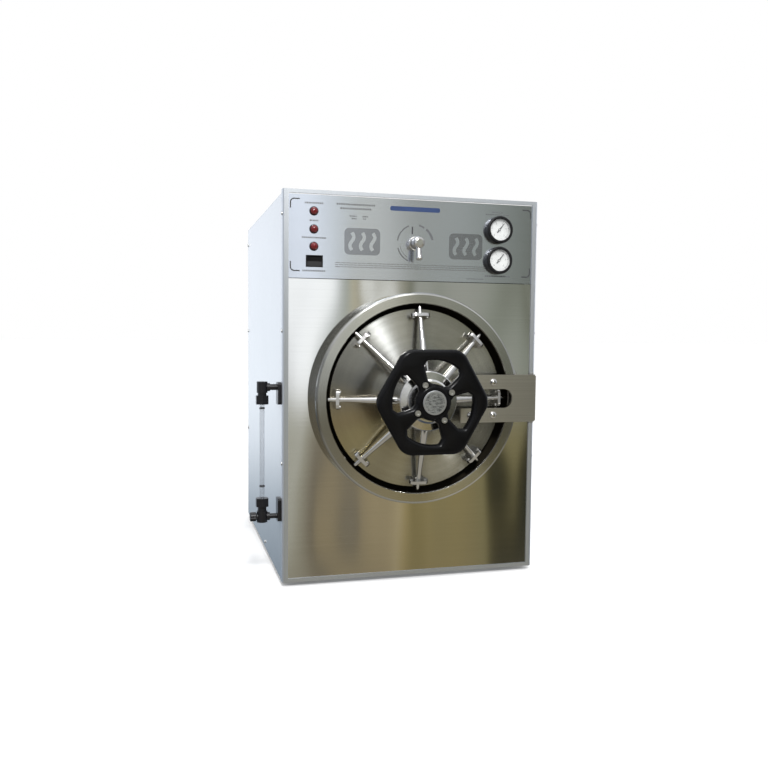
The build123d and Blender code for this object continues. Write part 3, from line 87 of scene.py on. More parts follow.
class Nodes:
    """A node tree under construction."""

    def __init__(self, tree):
        self.tree = tree

    def node(self, kind, **settings):
        made = self.tree.nodes.new(kind)
        for key, value in settings.items():
            setattr(made, key, value)
        return made

    def link(self, source, target):
        self.tree.links.new(source, target)

    def feed(self, socket, value):
        """Sets a number, vector or colour on a socket, or links another socket to it."""
        if isinstance(value, (int, float)):
            socket.default_value = value
        elif isinstance(value, tuple):
            socket.default_value = value if socket.type == "VECTOR" else (*value, 1.0)
        else:
            self.link(value, socket)

    def ramp(self, source, stops, interpolation="LINEAR"):
        """Colour ramp; each stop is (position, colour) or (position, grey level)."""
        made = self.node("ShaderNodeValToRGB")
        made.color_ramp.interpolation = interpolation
        elements = made.color_ramp.elements
        while len(elements) < len(stops):
            elements.new(0.5)
        for element, (position, colour) in zip(elements, stops):
            element.position = position
            if isinstance(colour, (int, float)):
                colour = (colour, colour, colour)
            element.color = (*colour, 1.0)
        self.link(source, made.inputs["Fac"])
        return made.outputs["Color"]

    def range(self, source, low, high, from_low=0.0, from_high=1.0, **settings):
        made = self.node("ShaderNodeMapRange", **settings)
        made.inputs["From Min"].default_value = from_low
        made.inputs["From Max"].default_value = from_high
        made.inputs["To Min"].default_value = low
        made.inputs["To Max"].default_value = high
        self.link(source, made.inputs["Value"])
        return made.outputs["Result"]

    def math(self, operation, first, second=0.0):
        made = self.node("ShaderNodeMath", operation=operation)
        self.feed(made.inputs[0], first)
        self.feed(made.inputs[1], second)
        return made.outputs["Value"]

    def mix(self, share, first, second, blend="MIX"):
        made = self.node("ShaderNodeMix", data_type="RGBA", blend_type=blend)
        for key, value in (("Factor", share), ("A", first), ("B", second)):
            self.feed(next(s for s in made.inputs if s.name == key and s.enabled), value)
        return next(s for s in made.outputs if s.enabled)

    def axes(self, source):
        made = self.node("ShaderNodeSeparateXYZ")
        self.link(source, made.inputs["Vector"])
        return made.outputs


class Shader(Nodes):
    """A material under construction: a Principled shader and the nodes that feed it."""

    def __init__(self, name):
        self.material = bpy.data.materials.new(name)
        self.material.use_nodes = True
        super().__init__(self.material.node_tree)
        self.bsdf = self.tree.nodes["Principled BSDF"]
        self.place = self.node("ShaderNodeTexCoord").outputs["Object"]

    def set(self, **values):
        """Sets Principled sockets, with underscores for spaces."""
        for key, value in values.items():
            self.bsdf.inputs[key.replace("_", " ")].default_value = value

    def drive(self, **sources):
        """Links sockets to Principled sockets, with underscores for spaces."""
        for key, source in sources.items():
            self.link(source, self.bsdf.inputs[key.replace("_", " ")])

    def stretched(self, scale, offset=(0.0, 0.0, 0.0)):
        """The object's own coordinates, scaled and shifted."""
        mapping = self.node("ShaderNodeMapping")
        mapping.inputs["Scale"].default_value = scale
        mapping.inputs["Location"].default_value = offset
        self.link(self.place, mapping.inputs["Vector"])
        return mapping.outputs["Vector"]

    def noise(self, vector, scale=1.0, detail=3.0, roughness=0.5):
        made = self.node("ShaderNodeTexNoise")
        made.inputs["Scale"].default_value = scale
        made.inputs["Detail"].default_value = detail
        made.inputs["Roughness"].default_value = roughness
        self.link(vector, made.inputs["Vector"])
        return made.outputs["Fac"]

    def blend(self, first, second, share):
        """Adds two grey values, the first in a share and the second in the rest of it."""
        return self.math(
            "ADD", self.math("MULTIPLY", first, share), self.math("MULTIPLY", second, 1 - share)
        )

    def vector(self, operation, first, second):
        made = self.node("ShaderNodeVectorMath", operation=operation)
        self.feed(made.inputs[0], first)
        self.feed(made.inputs[1], second)
        return made.outputs["Vector"]

    def from_axis(self, centre):
        """Offset in x and z from the front-to-back axis through a centre, and its length."""
        offset = self.vector("SUBTRACT", self.place, (centre.x, 0.0, centre.z))
        flat = self.vector("MULTIPLY", offset, (1.0, 0.0, 1.0))
        length = self.node("ShaderNodeVectorMath", operation="LENGTH")
        self.link(flat, length.inputs[0])
        return flat, length.outputs["Value"]

    def bump(self, height, strength, distance):
        """Adds a bump on top of any earlier one."""
        made = self.node("ShaderNodeBump")
        made.inputs["Strength"].default_value = strength
        made.inputs["Distance"].default_value = distance
        self.link(height, made.inputs["Height"])
        for earlier in self.bsdf.inputs["Normal"].links:
            self.link(earlier.from_socket, made.inputs["Normal"])
        self.drive(Normal=made.outputs["Normal"])

    def tangent(self, source):
        """Direction that highlights stretch along, across the grain, in the object's own space."""
        made = self.node(
            "ShaderNodeVectorTransform",
            vector_type="VECTOR",
            convert_from="OBJECT",
            convert_to="WORLD",
        )
        self.feed(made.inputs["Vector"], source)
        self.drive(Tangent=made.outputs["Vector"])


def smudges(shader, scale=9.0):
    """Slow, soft variation of the kind that handling leaves on metal."""
    return shader.noise(shader.stretched((1.0, 1.0, 1.0)), scale, 4.0, 0.55)


def brushed_sheet(
    name,
    colours,
    roughness,
    grain=(1.0, 0.0, 0.0),
    across=(0.0, 0.0, 1.0),
    anisotropy=0.6,
    waves=0.0,
):
    """Rolled sheet with straight grain along one axis; highlights stretch across it.

    Waves are the slow hollows of thin sheet, in metres, that bend its reflections.
    """
    shader = Shader(name)
    scale = tuple(GRAIN_LONG if part else GRAIN_FINE for part in grain)
    fine = shader.noise(shader.stretched(scale), 1.0, 2.0, 0.7)
    coarse_scale = tuple(value * SHEET_COARSE for value in scale)
    coarse = shader.noise(shader.stretched(coarse_scale), 1.0, 3.0, 0.6)
    hand = smudges(shader)
    mixed = shader.blend(fine, coarse, 0.75)
    dark, light = colours
    colour = shader.ramp(mixed, ((0.30, dark), (0.70, light)))
    worn = shader.range(hand, roughness - 0.02, roughness + 0.03)
    rough = shader.math("ADD", shader.range(mixed, -0.02, 0.02), worn)
    shader.drive(Base_Color=colour, Roughness=rough)
    shader.set(Metallic=1.0, Anisotropic=anisotropy)
    shader.tangent(across)
    shader.bump(mixed, *GRAIN_BUMP)
    if waves:
        slow = shader.noise(shader.stretched((5.0, 5.0, 2.2), (0.4, 0.0, 0.7)), 1.0, 1.0, 0.4)
        shader.bump(slow, 1.0, waves)
    return shader.material


def turned_steel(name, colours, roughness, centre, anisotropy=0.8, recess=None, painted_light=None):
    """Steel faced on a lathe: rings of grain about the front-to-back axis through a centre.

    Behind the recess, a (radius, y) pair, the steel is dull, with painted shade. Painted highlight
    and shade come from a tint at some angles from +X towards +Z, in degrees from -180 to 180.
    """
    shader = Shader(name)
    flat, radius = shader.from_axis(centre)
    rings = shader.node("ShaderNodeCombineXYZ")
    depth = shader.axes(shader.place)["Y"]
    shader.link(shader.math("MULTIPLY", radius, GRAIN_TURNED), rings.inputs["X"])
    shader.link(shader.math("MULTIPLY", depth, GRAIN_TURNED), rings.inputs["Y"])
    fine = shader.noise(rings.outputs["Vector"], 1.0, 2.0, 0.7)
    spread = shader.vector("MULTIPLY", rings.outputs["Vector"], (TURNED_COARSE,) * 3)
    broad = shader.noise(spread, 1.0, 3.0, 0.6)
    grain = shader.blend(fine, broad, 0.55)
    dark, light = colours
    colour = shader.ramp(grain, ((0.30, dark), (0.70, light)))
    worn = shader.range(smudges(shader), roughness - 0.04, roughness + 0.05)
    rough = shader.math("ADD", shader.range(grain, -0.06, 0.06), worn)
    # Painted highlight and shade: a tint by angle about the axis.
    if painted_light is not None:
        across = shader.axes(flat)
        turn = shader.math("ARCTAN2", across["Z"], across["X"])
        turn = shader.range(turn, 0.0, 1.0, -math.pi, math.pi)
        tint = shader.ramp(turn, [((angle + 180) / 360, level) for angle, level in painted_light], "EASE")
        colour = shader.mix(1.0, colour, tint, "MULTIPLY")
    # Painted shade: the recess is darkened and made dull.
    if recess is not None:
        inside = shader.math("LESS_THAN", radius, recess[0])
        behind = shader.math("GREATER_THAN", depth, recess[1])
        hidden = shader.math("MULTIPLY", inside, behind)
        colour = shader.mix(hidden, colour, RECESS_PAINTED_SHADE)
        rough = shader.math("MAXIMUM", rough, shader.math("MULTIPLY", hidden, RECESS_ROUGHNESS))
    shader.drive(Base_Color=colour, Roughness=rough)
    shader.set(Metallic=1.0, Anisotropic=anisotropy)
    shader.tangent(flat)
    shader.bump(grain, *GRAIN_BUMP)
    return shader.material


# Radii between which the badge turns from scuffed face to plain rim.
BADGE_RIM = (18.0 * MM, 18.4 * MM)


def worn_badge(name, centre):
    """Cast badge with a plain rim and slanting scuffs instead of any lettering."""
    shader = Shader(name)
    scuffs = shader.noise(shader.stretched((160.0, 1.0, 420.0), (0.3, 0.0, 0.1)), 1.0, 4.0, 0.7)
    pits = shader.noise(shader.stretched((1.0, 1.0, 1.0)), 900.0, 2.0, 0.6)
    mark = shader.blend(scuffs, pits, 0.75)
    dark, middle, light = (0.10, 0.10, 0.11), (0.42, 0.44, 0.45), (0.62, 0.64, 0.66)
    colour = shader.ramp(mark, ((0.38, dark), (0.52, middle), (0.7, light)))
    radius = shader.from_axis(centre)[1]
    rim = shader.range(radius, 0.0, 1.0, *BADGE_RIM)
    colour = shader.mix(rim, colour, (0.5, 0.51, 0.52))
    shader.drive(Base_Color=colour, Roughness=shader.range(mark, 0.5, 0.25))
    shader.set(Metallic=1.0)
    shader.bump(mark, 0.5, 0.0004)
    return shader.material


def polished_metal(name, colour, roughness, wear=0.05):
    """Polished or bright-plated metal with faint handling marks."""
    shader = Shader(name)
    marks = smudges(shader, 60.0)
    hairlines = shader.noise(shader.stretched((900.0, 120.0, 900.0)), 1.0, 2.0, 0.6)
    shade = tuple(value * 0.86 for value in colour)
    shader.drive(
        Base_Color=shader.ramp(marks, ((0.3, shade), (0.7, colour))),
        Roughness=shader.range(marks, roughness, roughness + wear),
    )
    shader.set(Metallic=1.0)
    shader.bump(hairlines, 0.04, 0.0001)
    return shader.material


def painted_sheet(name, low_colour, high_colour, roughness):
    """Enamelled sheet: faint orange peel, and painted shade: a tone slowly darker towards the
    bottom.
    """
    shader = Shader(name)
    # Painted shade: the colour is darker low on the sheet and lighter higher up.
    height = shader.axes(shader.place)["Z"]
    share = shader.range(height, 0.0, 1.0, CAD_BOX[0][2], FASCIA_TOP)
    tone = shader.ramp(share, ((0.0, low_colour), (0.55, high_colour)))
    cloud = shader.ramp(smudges(shader, 5.0), ((0.3, 0.955), (0.7, 1.0)))
    peel = shader.noise(shader.stretched((1.0, 1.0, 1.0)), 420.0, 2.0, 0.5)
    shader.drive(
        Base_Color=shader.mix(1.0, tone, cloud, "MULTIPLY"),
        Roughness=shader.range(smudges(shader, 14.0), roughness - 0.04, roughness + 0.05),
    )
    shader.set(Coat_Weight=0.25, Coat_Roughness=0.12)
    shader.bump(peel, 0.05, 0.0003)
    return shader.material


def moulded_plastic(name, colour, roughness, grain=700.0, coat=0.0, specular=0.5):
    """Moulded plastic with a fine texture and slightly worn highs."""
    shader = Shader(name)
    texture = shader.noise(shader.stretched((1.0, 1.0, 1.0)), grain, 2.0, 0.6)
    hand = smudges(shader, 30.0)
    light = tuple(min(1.0, value * 1.4 + 0.001) for value in colour)
    shader.drive(
        Base_Color=shader.ramp(hand, ((0.35, colour), (0.75, light))),
        Roughness=shader.range(hand, roughness - 0.05, roughness + 0.08),
    )
    shader.set(Coat_Weight=coat, Coat_Roughness=0.08, Specular_IOR_Level=specular)
    shader.bump(texture, 0.10, 0.0001)
    return shader.material


def clear_glass(name, tint=(0.96, 0.98, 0.98), density=0.10, edge_density=0.10):
    """Thin clear glass with a bright skin, denser where it is seen edge on."""
    shader = Shader(name)
    haze = smudges(shader, 80.0)
    slant = shader.node("ShaderNodeLayerWeight").outputs["Facing"]
    shader.set(Base_Color=(*tint, 1.0), IOR=1.45)
    shader.drive(
        Roughness=shader.range(haze, 0.02, 0.08),
        Alpha=shader.range(slant, density, edge_density, 0.35, 0.85),
    )
    return shader.material


def fibrous(name, dark, light):
    """Loose fibre, felt or foam."""
    shader = Shader(name)
    fibre = shader.noise(shader.stretched((60.0, 400.0, 60.0)), 1.0, 5.0, 0.7)
    shader.drive(Base_Color=shader.ramp(fibre, ((0.3, dark), (0.7, light))))
    shader.set(Roughness=0.95, Sheen_Weight=0.3)
    shader.bump(fibre, 0.5, 0.002)
    return shader.material


# ------------------------------------------------------------------ materials

STEEL_WARM = ((0.60, 0.595, 0.575), (0.65, 0.645, 0.625))
STEEL_COOL = ((0.62, 0.62, 0.62), (0.78, 0.78, 0.78))

panel_steel = brushed_sheet("front_panel_steel", STEEL_WARM, 0.065, anisotropy=0.9, waves=0.0055)
fascia_steel = brushed_sheet(
    "fascia_steel", ((0.64, 0.675, 0.75), (0.70, 0.735, 0.81)), 0.17, anisotropy=0.7, waves=0.001
)
hinge_steel = brushed_sheet(
    "hinge_steel", ((0.46, 0.44, 0.40), (0.58, 0.56, 0.51)), 0.30, anisotropy=0.5
)
trim_satin = brushed_sheet(
    "trim_satin",
    ((0.56, 0.59, 0.63), (0.65, 0.68, 0.72)),
    0.42,
    grain=(0.0, 0.0, 1.0),
    across=(1.0, 0.0, 0.0),
    anisotropy=0.3,
)
# Painted highlight and shade: tints by angle for the sectors of light and shade on turned steel.
DOOR_PAINTED_LIGHT = (
    (-180, (0.58, 0.53, 0.45)),
    (-165, (0.75, 0.65, 0.48)),
    (-150, (0.82, 0.74, 0.52)),
    (-120, (0.64, 0.61, 0.52)),
    (-105, (0.72, 0.70, 0.62)),
    (-90, 0.46),
    (-75, 0.80),
    (-60, 1.0),
    (-42, 0.40),
    (-30, 0.54),
    (-15, 0.41),
    (0, 0.50),
    (15, 0.62),
    (30, 0.92),
    (60, 0.79),
    (75, 0.70),
    (90, 0.52),
    (105, 0.75),
    (120, (0.78, 0.80, 0.84)),
    (135, 0.70),
    (150, 0.60),
    (165, 0.45),
    (180, (0.58, 0.53, 0.45)),
)
door_steel = turned_steel(
    "door_steel", ((0.61, 0.60, 0.55), (0.74, 0.73, 0.67)), 0.23, AXIS, 0.93, painted_light=DOOR_PAINTED_LIGHT
)
# Painted highlight and shade on the ring's face: tints by angle, as on the door.
RING_PAINTED_LIGHT = (
    (-180, 0.50),
    (-165, 0.46),
    (-150, 0.52),
    (-120, 0.72),
    (-90, 0.76),
    (-72, 0.98),
    (-52, 1.0),
    (-40, 0.72),
    (-15, 0.56),
    (15, 0.66),
    (45, 0.80),
    (85, 0.84),
    (105, 1.0),
    (125, 0.92),
    (150, 0.80),
    (165, 0.62),
    (180, 0.50),
)
# Painted shade: the steel is dark and dull inside this radius and further back than this y, the
# groove behind the lip.
RING_RECESS = (190.0 * MM, RING_LOW.y + 1.2 * MM)
ring_steel = turned_steel(
    "ring_steel",
    ((0.55, 0.545, 0.515), (0.74, 0.735, 0.69)),
    0.14,
    AXIS,
    0.80,
    recess=RING_RECESS,
    painted_light=RING_PAINTED_LIGHT,
)
chamber_steel = turned_steel("chamber_steel", STEEL_COOL, 0.32, AXIS, 0.4)
chrome = polished_metal("bright_chrome", (0.66, 0.65, 0.63), 0.13)
bolt_steel = polished_metal("bolt_steel", (0.55, 0.55, 0.54), 0.26, 0.12)
badge_metal = worn_badge("badge_metal", AXIS)
enamel = painted_sheet("blue_white_enamel", (0.52, 0.58, 0.65), (0.62, 0.68, 0.75), 0.16)
galvanised = polished_metal("galvanised_steel", (0.58, 0.60, 0.62), 0.38, 0.2)
wheel_black = moulded_plastic("wheel_black", (0.0025, 0.0025, 0.003), 0.22, 500.0, 0.0, 0.16)
plastic_black = moulded_plastic("plastic_black", (0.006, 0.006, 0.007), 0.45, 700.0, 0.0, 0.25)
fitting_black = moulded_plastic("fitting_black", (0.006, 0.006, 0.008), 0.30, 900.0, 0.0, 0.4)
rubber = moulded_plastic("foot_rubber", (0.02, 0.02, 0.02), 0.75, 300.0)
silicone = moulded_plastic("door_silicone", (0.02, 0.018, 0.015), 0.5, 300.0)
polythene = moulded_plastic("tank_polythene", (0.70, 0.72, 0.70), 0.45, 200.0)
wool = fibrous("mineral_wool", (0.50, 0.46, 0.32), (0.78, 0.74, 0.60))
brass = polished_metal("valve_brass", (0.72, 0.52, 0.22), 0.18, 0.15)
copper = polished_metal("pipe_copper", (0.74, 0.42, 0.26), 0.22, 0.2)
glass = clear_glass("gauge_glass")
tube_glass = clear_glass("tube_glass", (0.30, 0.33, 0.37), 0.12, 0.75)
dial_white = moulded_plastic("dial_white", (0.70, 0.71, 0.70), 0.5)
pointer_black = moulded_plastic("pointer_black", (0.015, 0.015, 0.016), 0.4)
lamp_red = moulded_plastic("lamp_red", (0.11, 0.002, 0.004), 0.12, 300.0, 0.5)
print_grey = moulded_plastic("print_grey", (0.10, 0.105, 0.11), 0.6, 300.0)
print_dark = moulded_plastic("print_dark", (0.035, 0.036, 0.04), 0.6, 300.0)
print_label = brushed_sheet(
    "print_label", ((0.20, 0.205, 0.215), (0.24, 0.245, 0.255)), 0.34, anisotropy=0.5
)
print_pale = brushed_sheet(
    "print_pale", ((0.36, 0.37, 0.40), (0.40, 0.41, 0.44)), 0.30, anisotropy=0.5
)
print_emblem = brushed_sheet(
    "print_emblem", ((0.33, 0.345, 0.38), (0.37, 0.385, 0.42)), 0.26, anisotropy=0.5
)
print_blue = moulded_plastic("print_blue", (0.015, 0.04, 0.13), 0.5, 300.0)

NODE_LOOKS = {
    panel_steel: ["front_panel"],
    fascia_steel: ["control_fascia"],
    hinge_steel: ["hinge_arm", "hinge_bracket"],
    trim_satin: ["front_trim"],
    door_steel: ["door_disc"],
    ring_steel: ["door_ring"],
    chamber_steel: ["chamber_vessel", "tray_rack", "upper_tray", "lower_tray", "heater_element"],
    chrome: [
        "hub_housing",
        "hub_cover",
        "rod_guides",
        "selector_valve",
        "selector_lever",
        "hinge_arm_bolts",
        *(f"locking_rod_{i}" for i in range(1, 9)),
    ],
    bolt_steel: ["panel_screws", "cam_disc", "hinge_pin", "wheel_bolts", "wheel_spindle"],
    badge_metal: ["wheel_badge"],
    enamel: ["left_side_panel", "right_side_panel", "top_cover", "rear_panel"],
    galvanised: ["base_tray", "inner_frame"],
    wheel_black: ["handwheel"],
    plastic_black: [
        "lamp_bezels",
        "switch_housing",
        "rocker_switch",
        "gauge_cases",
        "power_inlet",
        "filler_cap",
    ],
    fitting_black: ["upper_sight_fitting", "lower_sight_fitting", "drain_cock_knob"],
    rubber: ["rubber_feet"],
    silicone: ["door_gasket"],
    wool: ["insulation_blanket"],
    polythene: ["water_reservoir"],
    brass: ["safety_valve"],
    copper: ["steam_pipes"],
    glass: ["gauge_lenses"],
    tube_glass: ["sight_glass"],
    dial_white: ["gauge_dials"],
    pointer_black: ["chamber_gauge_needle", "jacket_gauge_needle"],
    lamp_red: ["lamp_lenses"],
}


def round_shading(mesh, angle=SMOOTH_ANGLE):
    """Shades curved faces smoothly and keeps edges sharper than the angle."""
    mesh.shade_smooth()
    mesh.set_sharp_from_angle(angle=math.radians(angle))


def dress_nodes():
    """Gives every CAD node its material, and shades round faces smoothly."""
    for look, names in NODE_LOOKS.items():
        for name in names:
            mesh = NODES[name].data
            mesh.materials.clear()
            mesh.materials.append(look)
            round_shading(mesh)
    undressed = sorted(set(NODES) - {name for names in NODE_LOOKS.values() for name in names})
    if undressed:
        raise RuntimeError(f"no material for {undressed}")


dress_nodes()

# ------------------------------------------------------------------ pieces over the CAD

DRAWING_THICK = 0.12 * MM
RAISED_THICK = 0.2 * MM
# Turns a drawing in the XY plane upright, to face the front.
UPRIGHT = Matrix.Rotation(math.pi / 2, 4, "X")


def stood_off(x, z, stand_off):
    """Point in millimetres: x, height z and distance in front of the front panel."""
    return Vector((x * MM, FRONT_Y - stand_off * MM, z * MM))


def add_prism(mesh, outline, back, front):
    """Adds a closed prism: (x, z) outline in millimetres, anticlockwise, between two stand-offs."""
    near = [mesh.verts.new(stood_off(x, z, front)) for x, z in outline]
    far = [mesh.verts.new(stood_off(x, z, back)) for x, z in outline]
    mesh.faces.new(near)
    mesh.faces.new(far[::-1])
    count = len(outline)
    for i in range(count):
        j = (i + 1) % count
        mesh.faces.new((near[j], near[i], far[i], far[j]))


def piece_from(name, mesh, look, body):
    """Makes a piece from a bmesh, with outward faces, that rides on a body."""
    bmesh.ops.recalc_face_normals(mesh, faces=mesh.faces)
    data = bpy.data.meshes.new(name)
    mesh.to_mesh(data)
    mesh.free()
    data.materials.append(look)
    piece = bpy.data.objects.new(name, data)
    bpy.context.scene.collection.objects.link(piece)
    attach(piece, body)
    return piece


def drawn(name, outlines, look, back=0.0, thick=DRAWING_THICK, body="cabinet"):
    """Flat printed shapes, each a thin closed prism standing a hair proud."""
    mesh = bmesh.new()
    for outline in outlines:
        add_prism(mesh, outline, back, back + thick / MM)
    return piece_from(name, mesh, look, body)


def rectangle(x, z, width, height):
    """Outline centred on (x, z)."""
    a, b = width / 2, height / 2
    return [(x - a, z - b), (x + a, z - b), (x + a, z + b), (x - a, z + b)]


def rounded(x, z, width, height, radius, steps=6):
    """Rectangle with rounded corners, centred on (x, z)."""
    outline = []
    corners = ((1, 1, 0), (-1, 1, 90), (-1, -1, 180), (1, -1, 270))
    for sx, sz, start in corners:
        cx, cz = x + sx * (width / 2 - radius), z + sz * (height / 2 - radius)
        for i in range(steps + 1):
            outline.append(polar(cx, cz, radius, math.radians(start + 90 * i / steps)))
    return outline


def stroke(points, width):
    """Outline of a band of even width along a line of points."""
    left, right = [], []
    for i, (x, z) in enumerate(points):
        (x0, z0), (x1, z1) = points[max(i - 1, 0)], points[min(i + 1, len(points) - 1)]
        length = math.hypot(x1 - x0, z1 - z0)
        nx, nz = -(z1 - z0) / length * width / 2, (x1 - x0) / length * width / 2
        left.append((x + nx, z + nz))
        right.append((x - nx, z - nz))
    return right + left[::-1]


def polar(x, z, radius, turn):
    """Point at a radius from (x, z), with the angle in radians from +X towards +Z."""
    return x + radius * math.cos(turn), z + radius * math.sin(turn)


def arc(x, z, radius, start, end, steps=16):
    """Points on an arc, angles in degrees."""
    turns = [math.radians(start + (end - start) * i / steps) for i in range(steps + 1)]
    return [polar(x, z, radius, turn) for turn in turns]


def add_curve(mesh, curve, place):
    """Adds the solid that a curve or text makes, moved to its place, and deletes the curve."""
    solid = bpy.data.objects.new(curve.name, curve)
    bpy.context.scene.collection.objects.link(solid)
    bpy.context.view_layer.update()
    evaluated = solid.evaluated_get(bpy.context.evaluated_depsgraph_get())
    data = bpy.data.meshes.new_from_object(evaluated)
    data.transform(place @ UPRIGHT)
    mesh.from_mesh(data)
    bpy.data.objects.remove(solid)
    bpy.data.curves.remove(curve)
    bpy.data.meshes.remove(data)


def dashes(x, z, width, height, words, gap, seed):
    """A row of blank blocks that stand for a line of small print, centred on (x, z)."""
    chance = random.Random(seed)
    shares = [chance.uniform(0.6, 1.4) for _ in range(words)]
    room = width - gap * (words - 1)
    start, row = x - width / 2, []
    for share in shares:
        wide = room * share / sum(shares)
        row.append(rectangle(start + wide / 2, z, wide, height))
        start += wide + gap
    return row


def corner_mark(x, z, to_x, to_z, leg=17.0, radius=7.0, width=2.2):
    """Rounded corner with two legs that run towards to_x and to_z."""
    across, up = math.copysign(1, to_x), math.copysign(1, to_z)
    points = [(x + across * leg, z)]
    for i in range(9):
        turn = math.pi / 2 * i / 8
        inward, upward = radius * (1 - math.sin(turn)), radius * (1 - math.cos(turn))
        points.append((x + across * inward, z + up * upward))
    points.append((x, z + up * leg))
    return stroke(points, width)


MARKS_X = 236.0
MARKS_Z = (583.5, 713.0)
SELECTOR = (0.5, 640.0)
# Radius, start and end angle in degrees, and width of the band.
SELECTOR_ARCS = ((35, 112, 172, 2.4), (35, 195, 246, 2.2), (30, 190, 240, 1.0))
SELECTOR_WIDE_ARCS = ((35, 14, 52, 4.4), (35, 60, 78, 3.4))
# Offset from the selector in x and z, width and height.
SELECTOR_TICK = (-5.9, 24.5, 2.8, 14)
EMBLEMS = ((-102.0, 640.0), (102.0, 638.0))
# Width, height and corner radius.
EMBLEM_SIZE = (68, 49, 9.0)
WAVE_COLUMNS = (-20, 0, 20)
WAVE_REACH = 3.6
WAVE_HEIGHT = 32
WAVE_STEPS = 24
WAVE_WIDTH = 6.5
# Centre in x and z, width, height and corner radius.
BLUE_BAR = (0, 704, 98, 8.5, 3.0)

# Rows of blank blocks for small print: x, z, width, height and number of words.
LABEL_ROWS = (
    (-193, 706.5, 34, 3.0, 9),
    (-193, 675, 16, 2.8, 4),
    (-193, 644, 44, 3.0, 12),
    (-193, 584, 42, 2.8, 12),
    (-115, 707, 72, 3.2, 19),
    (-115, 699.5, 58, 3.2, 15),
    (-120, 686, 13, 2.4, 4),
    (-97, 686, 10, 2.4, 3),
    (-118, 681.5, 9, 2.4, 3),
    (-98, 681.5, 5, 2.4, 2),
)
GAUGE_ROWS = (
    (166, 706, 22, 2.2, 5),
    (166, 701.5, 48, 2.2, 12),
    (168, 583.5, 52, 2.8, 13),
    (122, 577, 34, 1.8, 9),
)
FINE_ROWS = tuple((-5, height, 296, 1.7, 34) for height in (600.3, 596.6, 592.9))
LABEL_SEED, GAUGE_SEED, FINE_SEED = 1, 11, 20
WORD_GAP, FINE_GAP = 1.1, 1.3


def label_rows(rows, first_seed, gap=WORD_GAP):
    """The blocks of several rows, each row with the next seed."""
    blocks = []
    for seed, row in enumerate(rows, first_seed):
        blocks += dashes(*row, gap, seed)
    return blocks


def selector_arcs(rows):
    """Bands on arcs about the selector."""
    return [stroke(arc(*SELECTOR, radius, start, end), width) for radius, start, end, width in rows]


def make_fascia_print():
    """Plain print on the fascia: corner marks, dial arcs, blank label blocks, and no lettering."""
    low, high = MARKS_Z
    corners = [
        corner_mark(side * MARKS_X, z, -side, inward)
        for side in (-1, 1)
        for z, inward in ((low, 1), (high, -1))
    ]
    drawn("fascia_corner_marks", corners, print_dark)

    drawn("selector_dial_arcs", selector_arcs(SELECTOR_ARCS), print_grey)
    drawn("selector_dial_wide_arcs", selector_arcs(SELECTOR_WIDE_ARCS), print_grey)
    x, z, width, height = SELECTOR_TICK
    tick = rectangle(SELECTOR[0] + x, SELECTOR[1] + z, width, height)
    drawn("selector_tick", [tick], print_dark, thick=RAISED_THICK)

    drawn("fascia_label_blocks", label_rows(LABEL_ROWS, LABEL_SEED), print_label)
    drawn("gauge_label_blocks", label_rows(GAUGE_ROWS, GAUGE_SEED), print_grey)
    drawn("fascia_fine_print_blocks", label_rows(FINE_ROWS, FINE_SEED, FINE_GAP), print_pale)
    drawn("fascia_blue_bar", [rounded(*BLUE_BAR)], print_blue)

    blocks, waves = [], []
    for x, z in EMBLEMS:
        blocks.append(rounded(x, z, *EMBLEM_SIZE, 8))
        for column in WAVE_COLUMNS:
            path = []
            for i in range(WAVE_STEPS + 1):
                bend = WAVE_REACH * math.sin(2 * math.pi * i / WAVE_STEPS)
                fall = WAVE_HEIGHT * i / WAVE_STEPS
                path.append((x + column + bend, z + WAVE_HEIGHT / 2 - fall))
            waves.append(stroke(path, WAVE_WIDTH))
    drawn("fascia_emblem_blocks", blocks, print_emblem)
    drawn("fascia_emblem_waves", waves, fascia_steel, thick=RAISED_THICK)


GAUGES = ((168.0, 672.0), (168.0, 613.6))
# Stand-off of the dial's face, and the angles of the scale's first and last tick.
DIAL_FRONT = 6.6
DIAL_SWEEP = (225.0, -45.0)
DIAL_STEPS = 50
STEPS_PER_NUMBER = 10
TICK_OUTER = 21.0
TICK_INNER, MAJOR_TICK_INNER = 19.0, 17.4
TICK_WIDTH, MAJOR_TICK_WIDTH = 0.4, 0.75
SCALE_LINE_WIDTH = 0.3
NUMBER_RADIUS = 13.8
NUMBER_HEIGHT = 4.4


def make_dial_marks():
    """Scale ticks and plain numbers on the two pressure gauges."""
    ticks = []
    numbers = bmesh.new()
    start, end = DIAL_SWEEP
    for x, z in GAUGES:
        for step in range(DIAL_STEPS + 1):
            turn = math.radians(start + (end - start) * step / DIAL_STEPS)
            major = step % STEPS_PER_NUMBER == 0
            inner = MAJOR_TICK_INNER if major else TICK_INNER
            ends = [polar(x, z, radius, turn) for radius in (inner, TICK_OUTER)]
            ticks.append(stroke(ends, MAJOR_TICK_WIDTH if major else TICK_WIDTH))
            if major:
                number = str(step // STEPS_PER_NUMBER)
                add_number(numbers, number, *polar(x, z, NUMBER_RADIUS, turn))
        ticks.append(stroke(arc(x, z, TICK_INNER, start, end, 60), SCALE_LINE_WIDTH))
    drawn("gauge_dial_ticks", ticks, print_dark, back=DIAL_FRONT)
    piece_from("gauge_dial_numbers", numbers, print_dark, "cabinet")


def add_number(mesh, text, x, z):
    """Adds a number as a thin solid, centred on (x, z) on the gauge dial."""
    curve = bpy.data.curves.new("number", "FONT")
    curve.body = text
    curve.size = NUMBER_HEIGHT * MM
    curve.align_x = "CENTER"
    curve.align_y = "CENTER"
    curve.extrude = DRAWING_THICK / 2
    curve.resolution_u = 3
    middle = stood_off(x, z, DIAL_FRONT) - Vector((0, DRAWING_THICK / 2, 0))
    add_curve(mesh, curve, Matrix.Translation(middle))


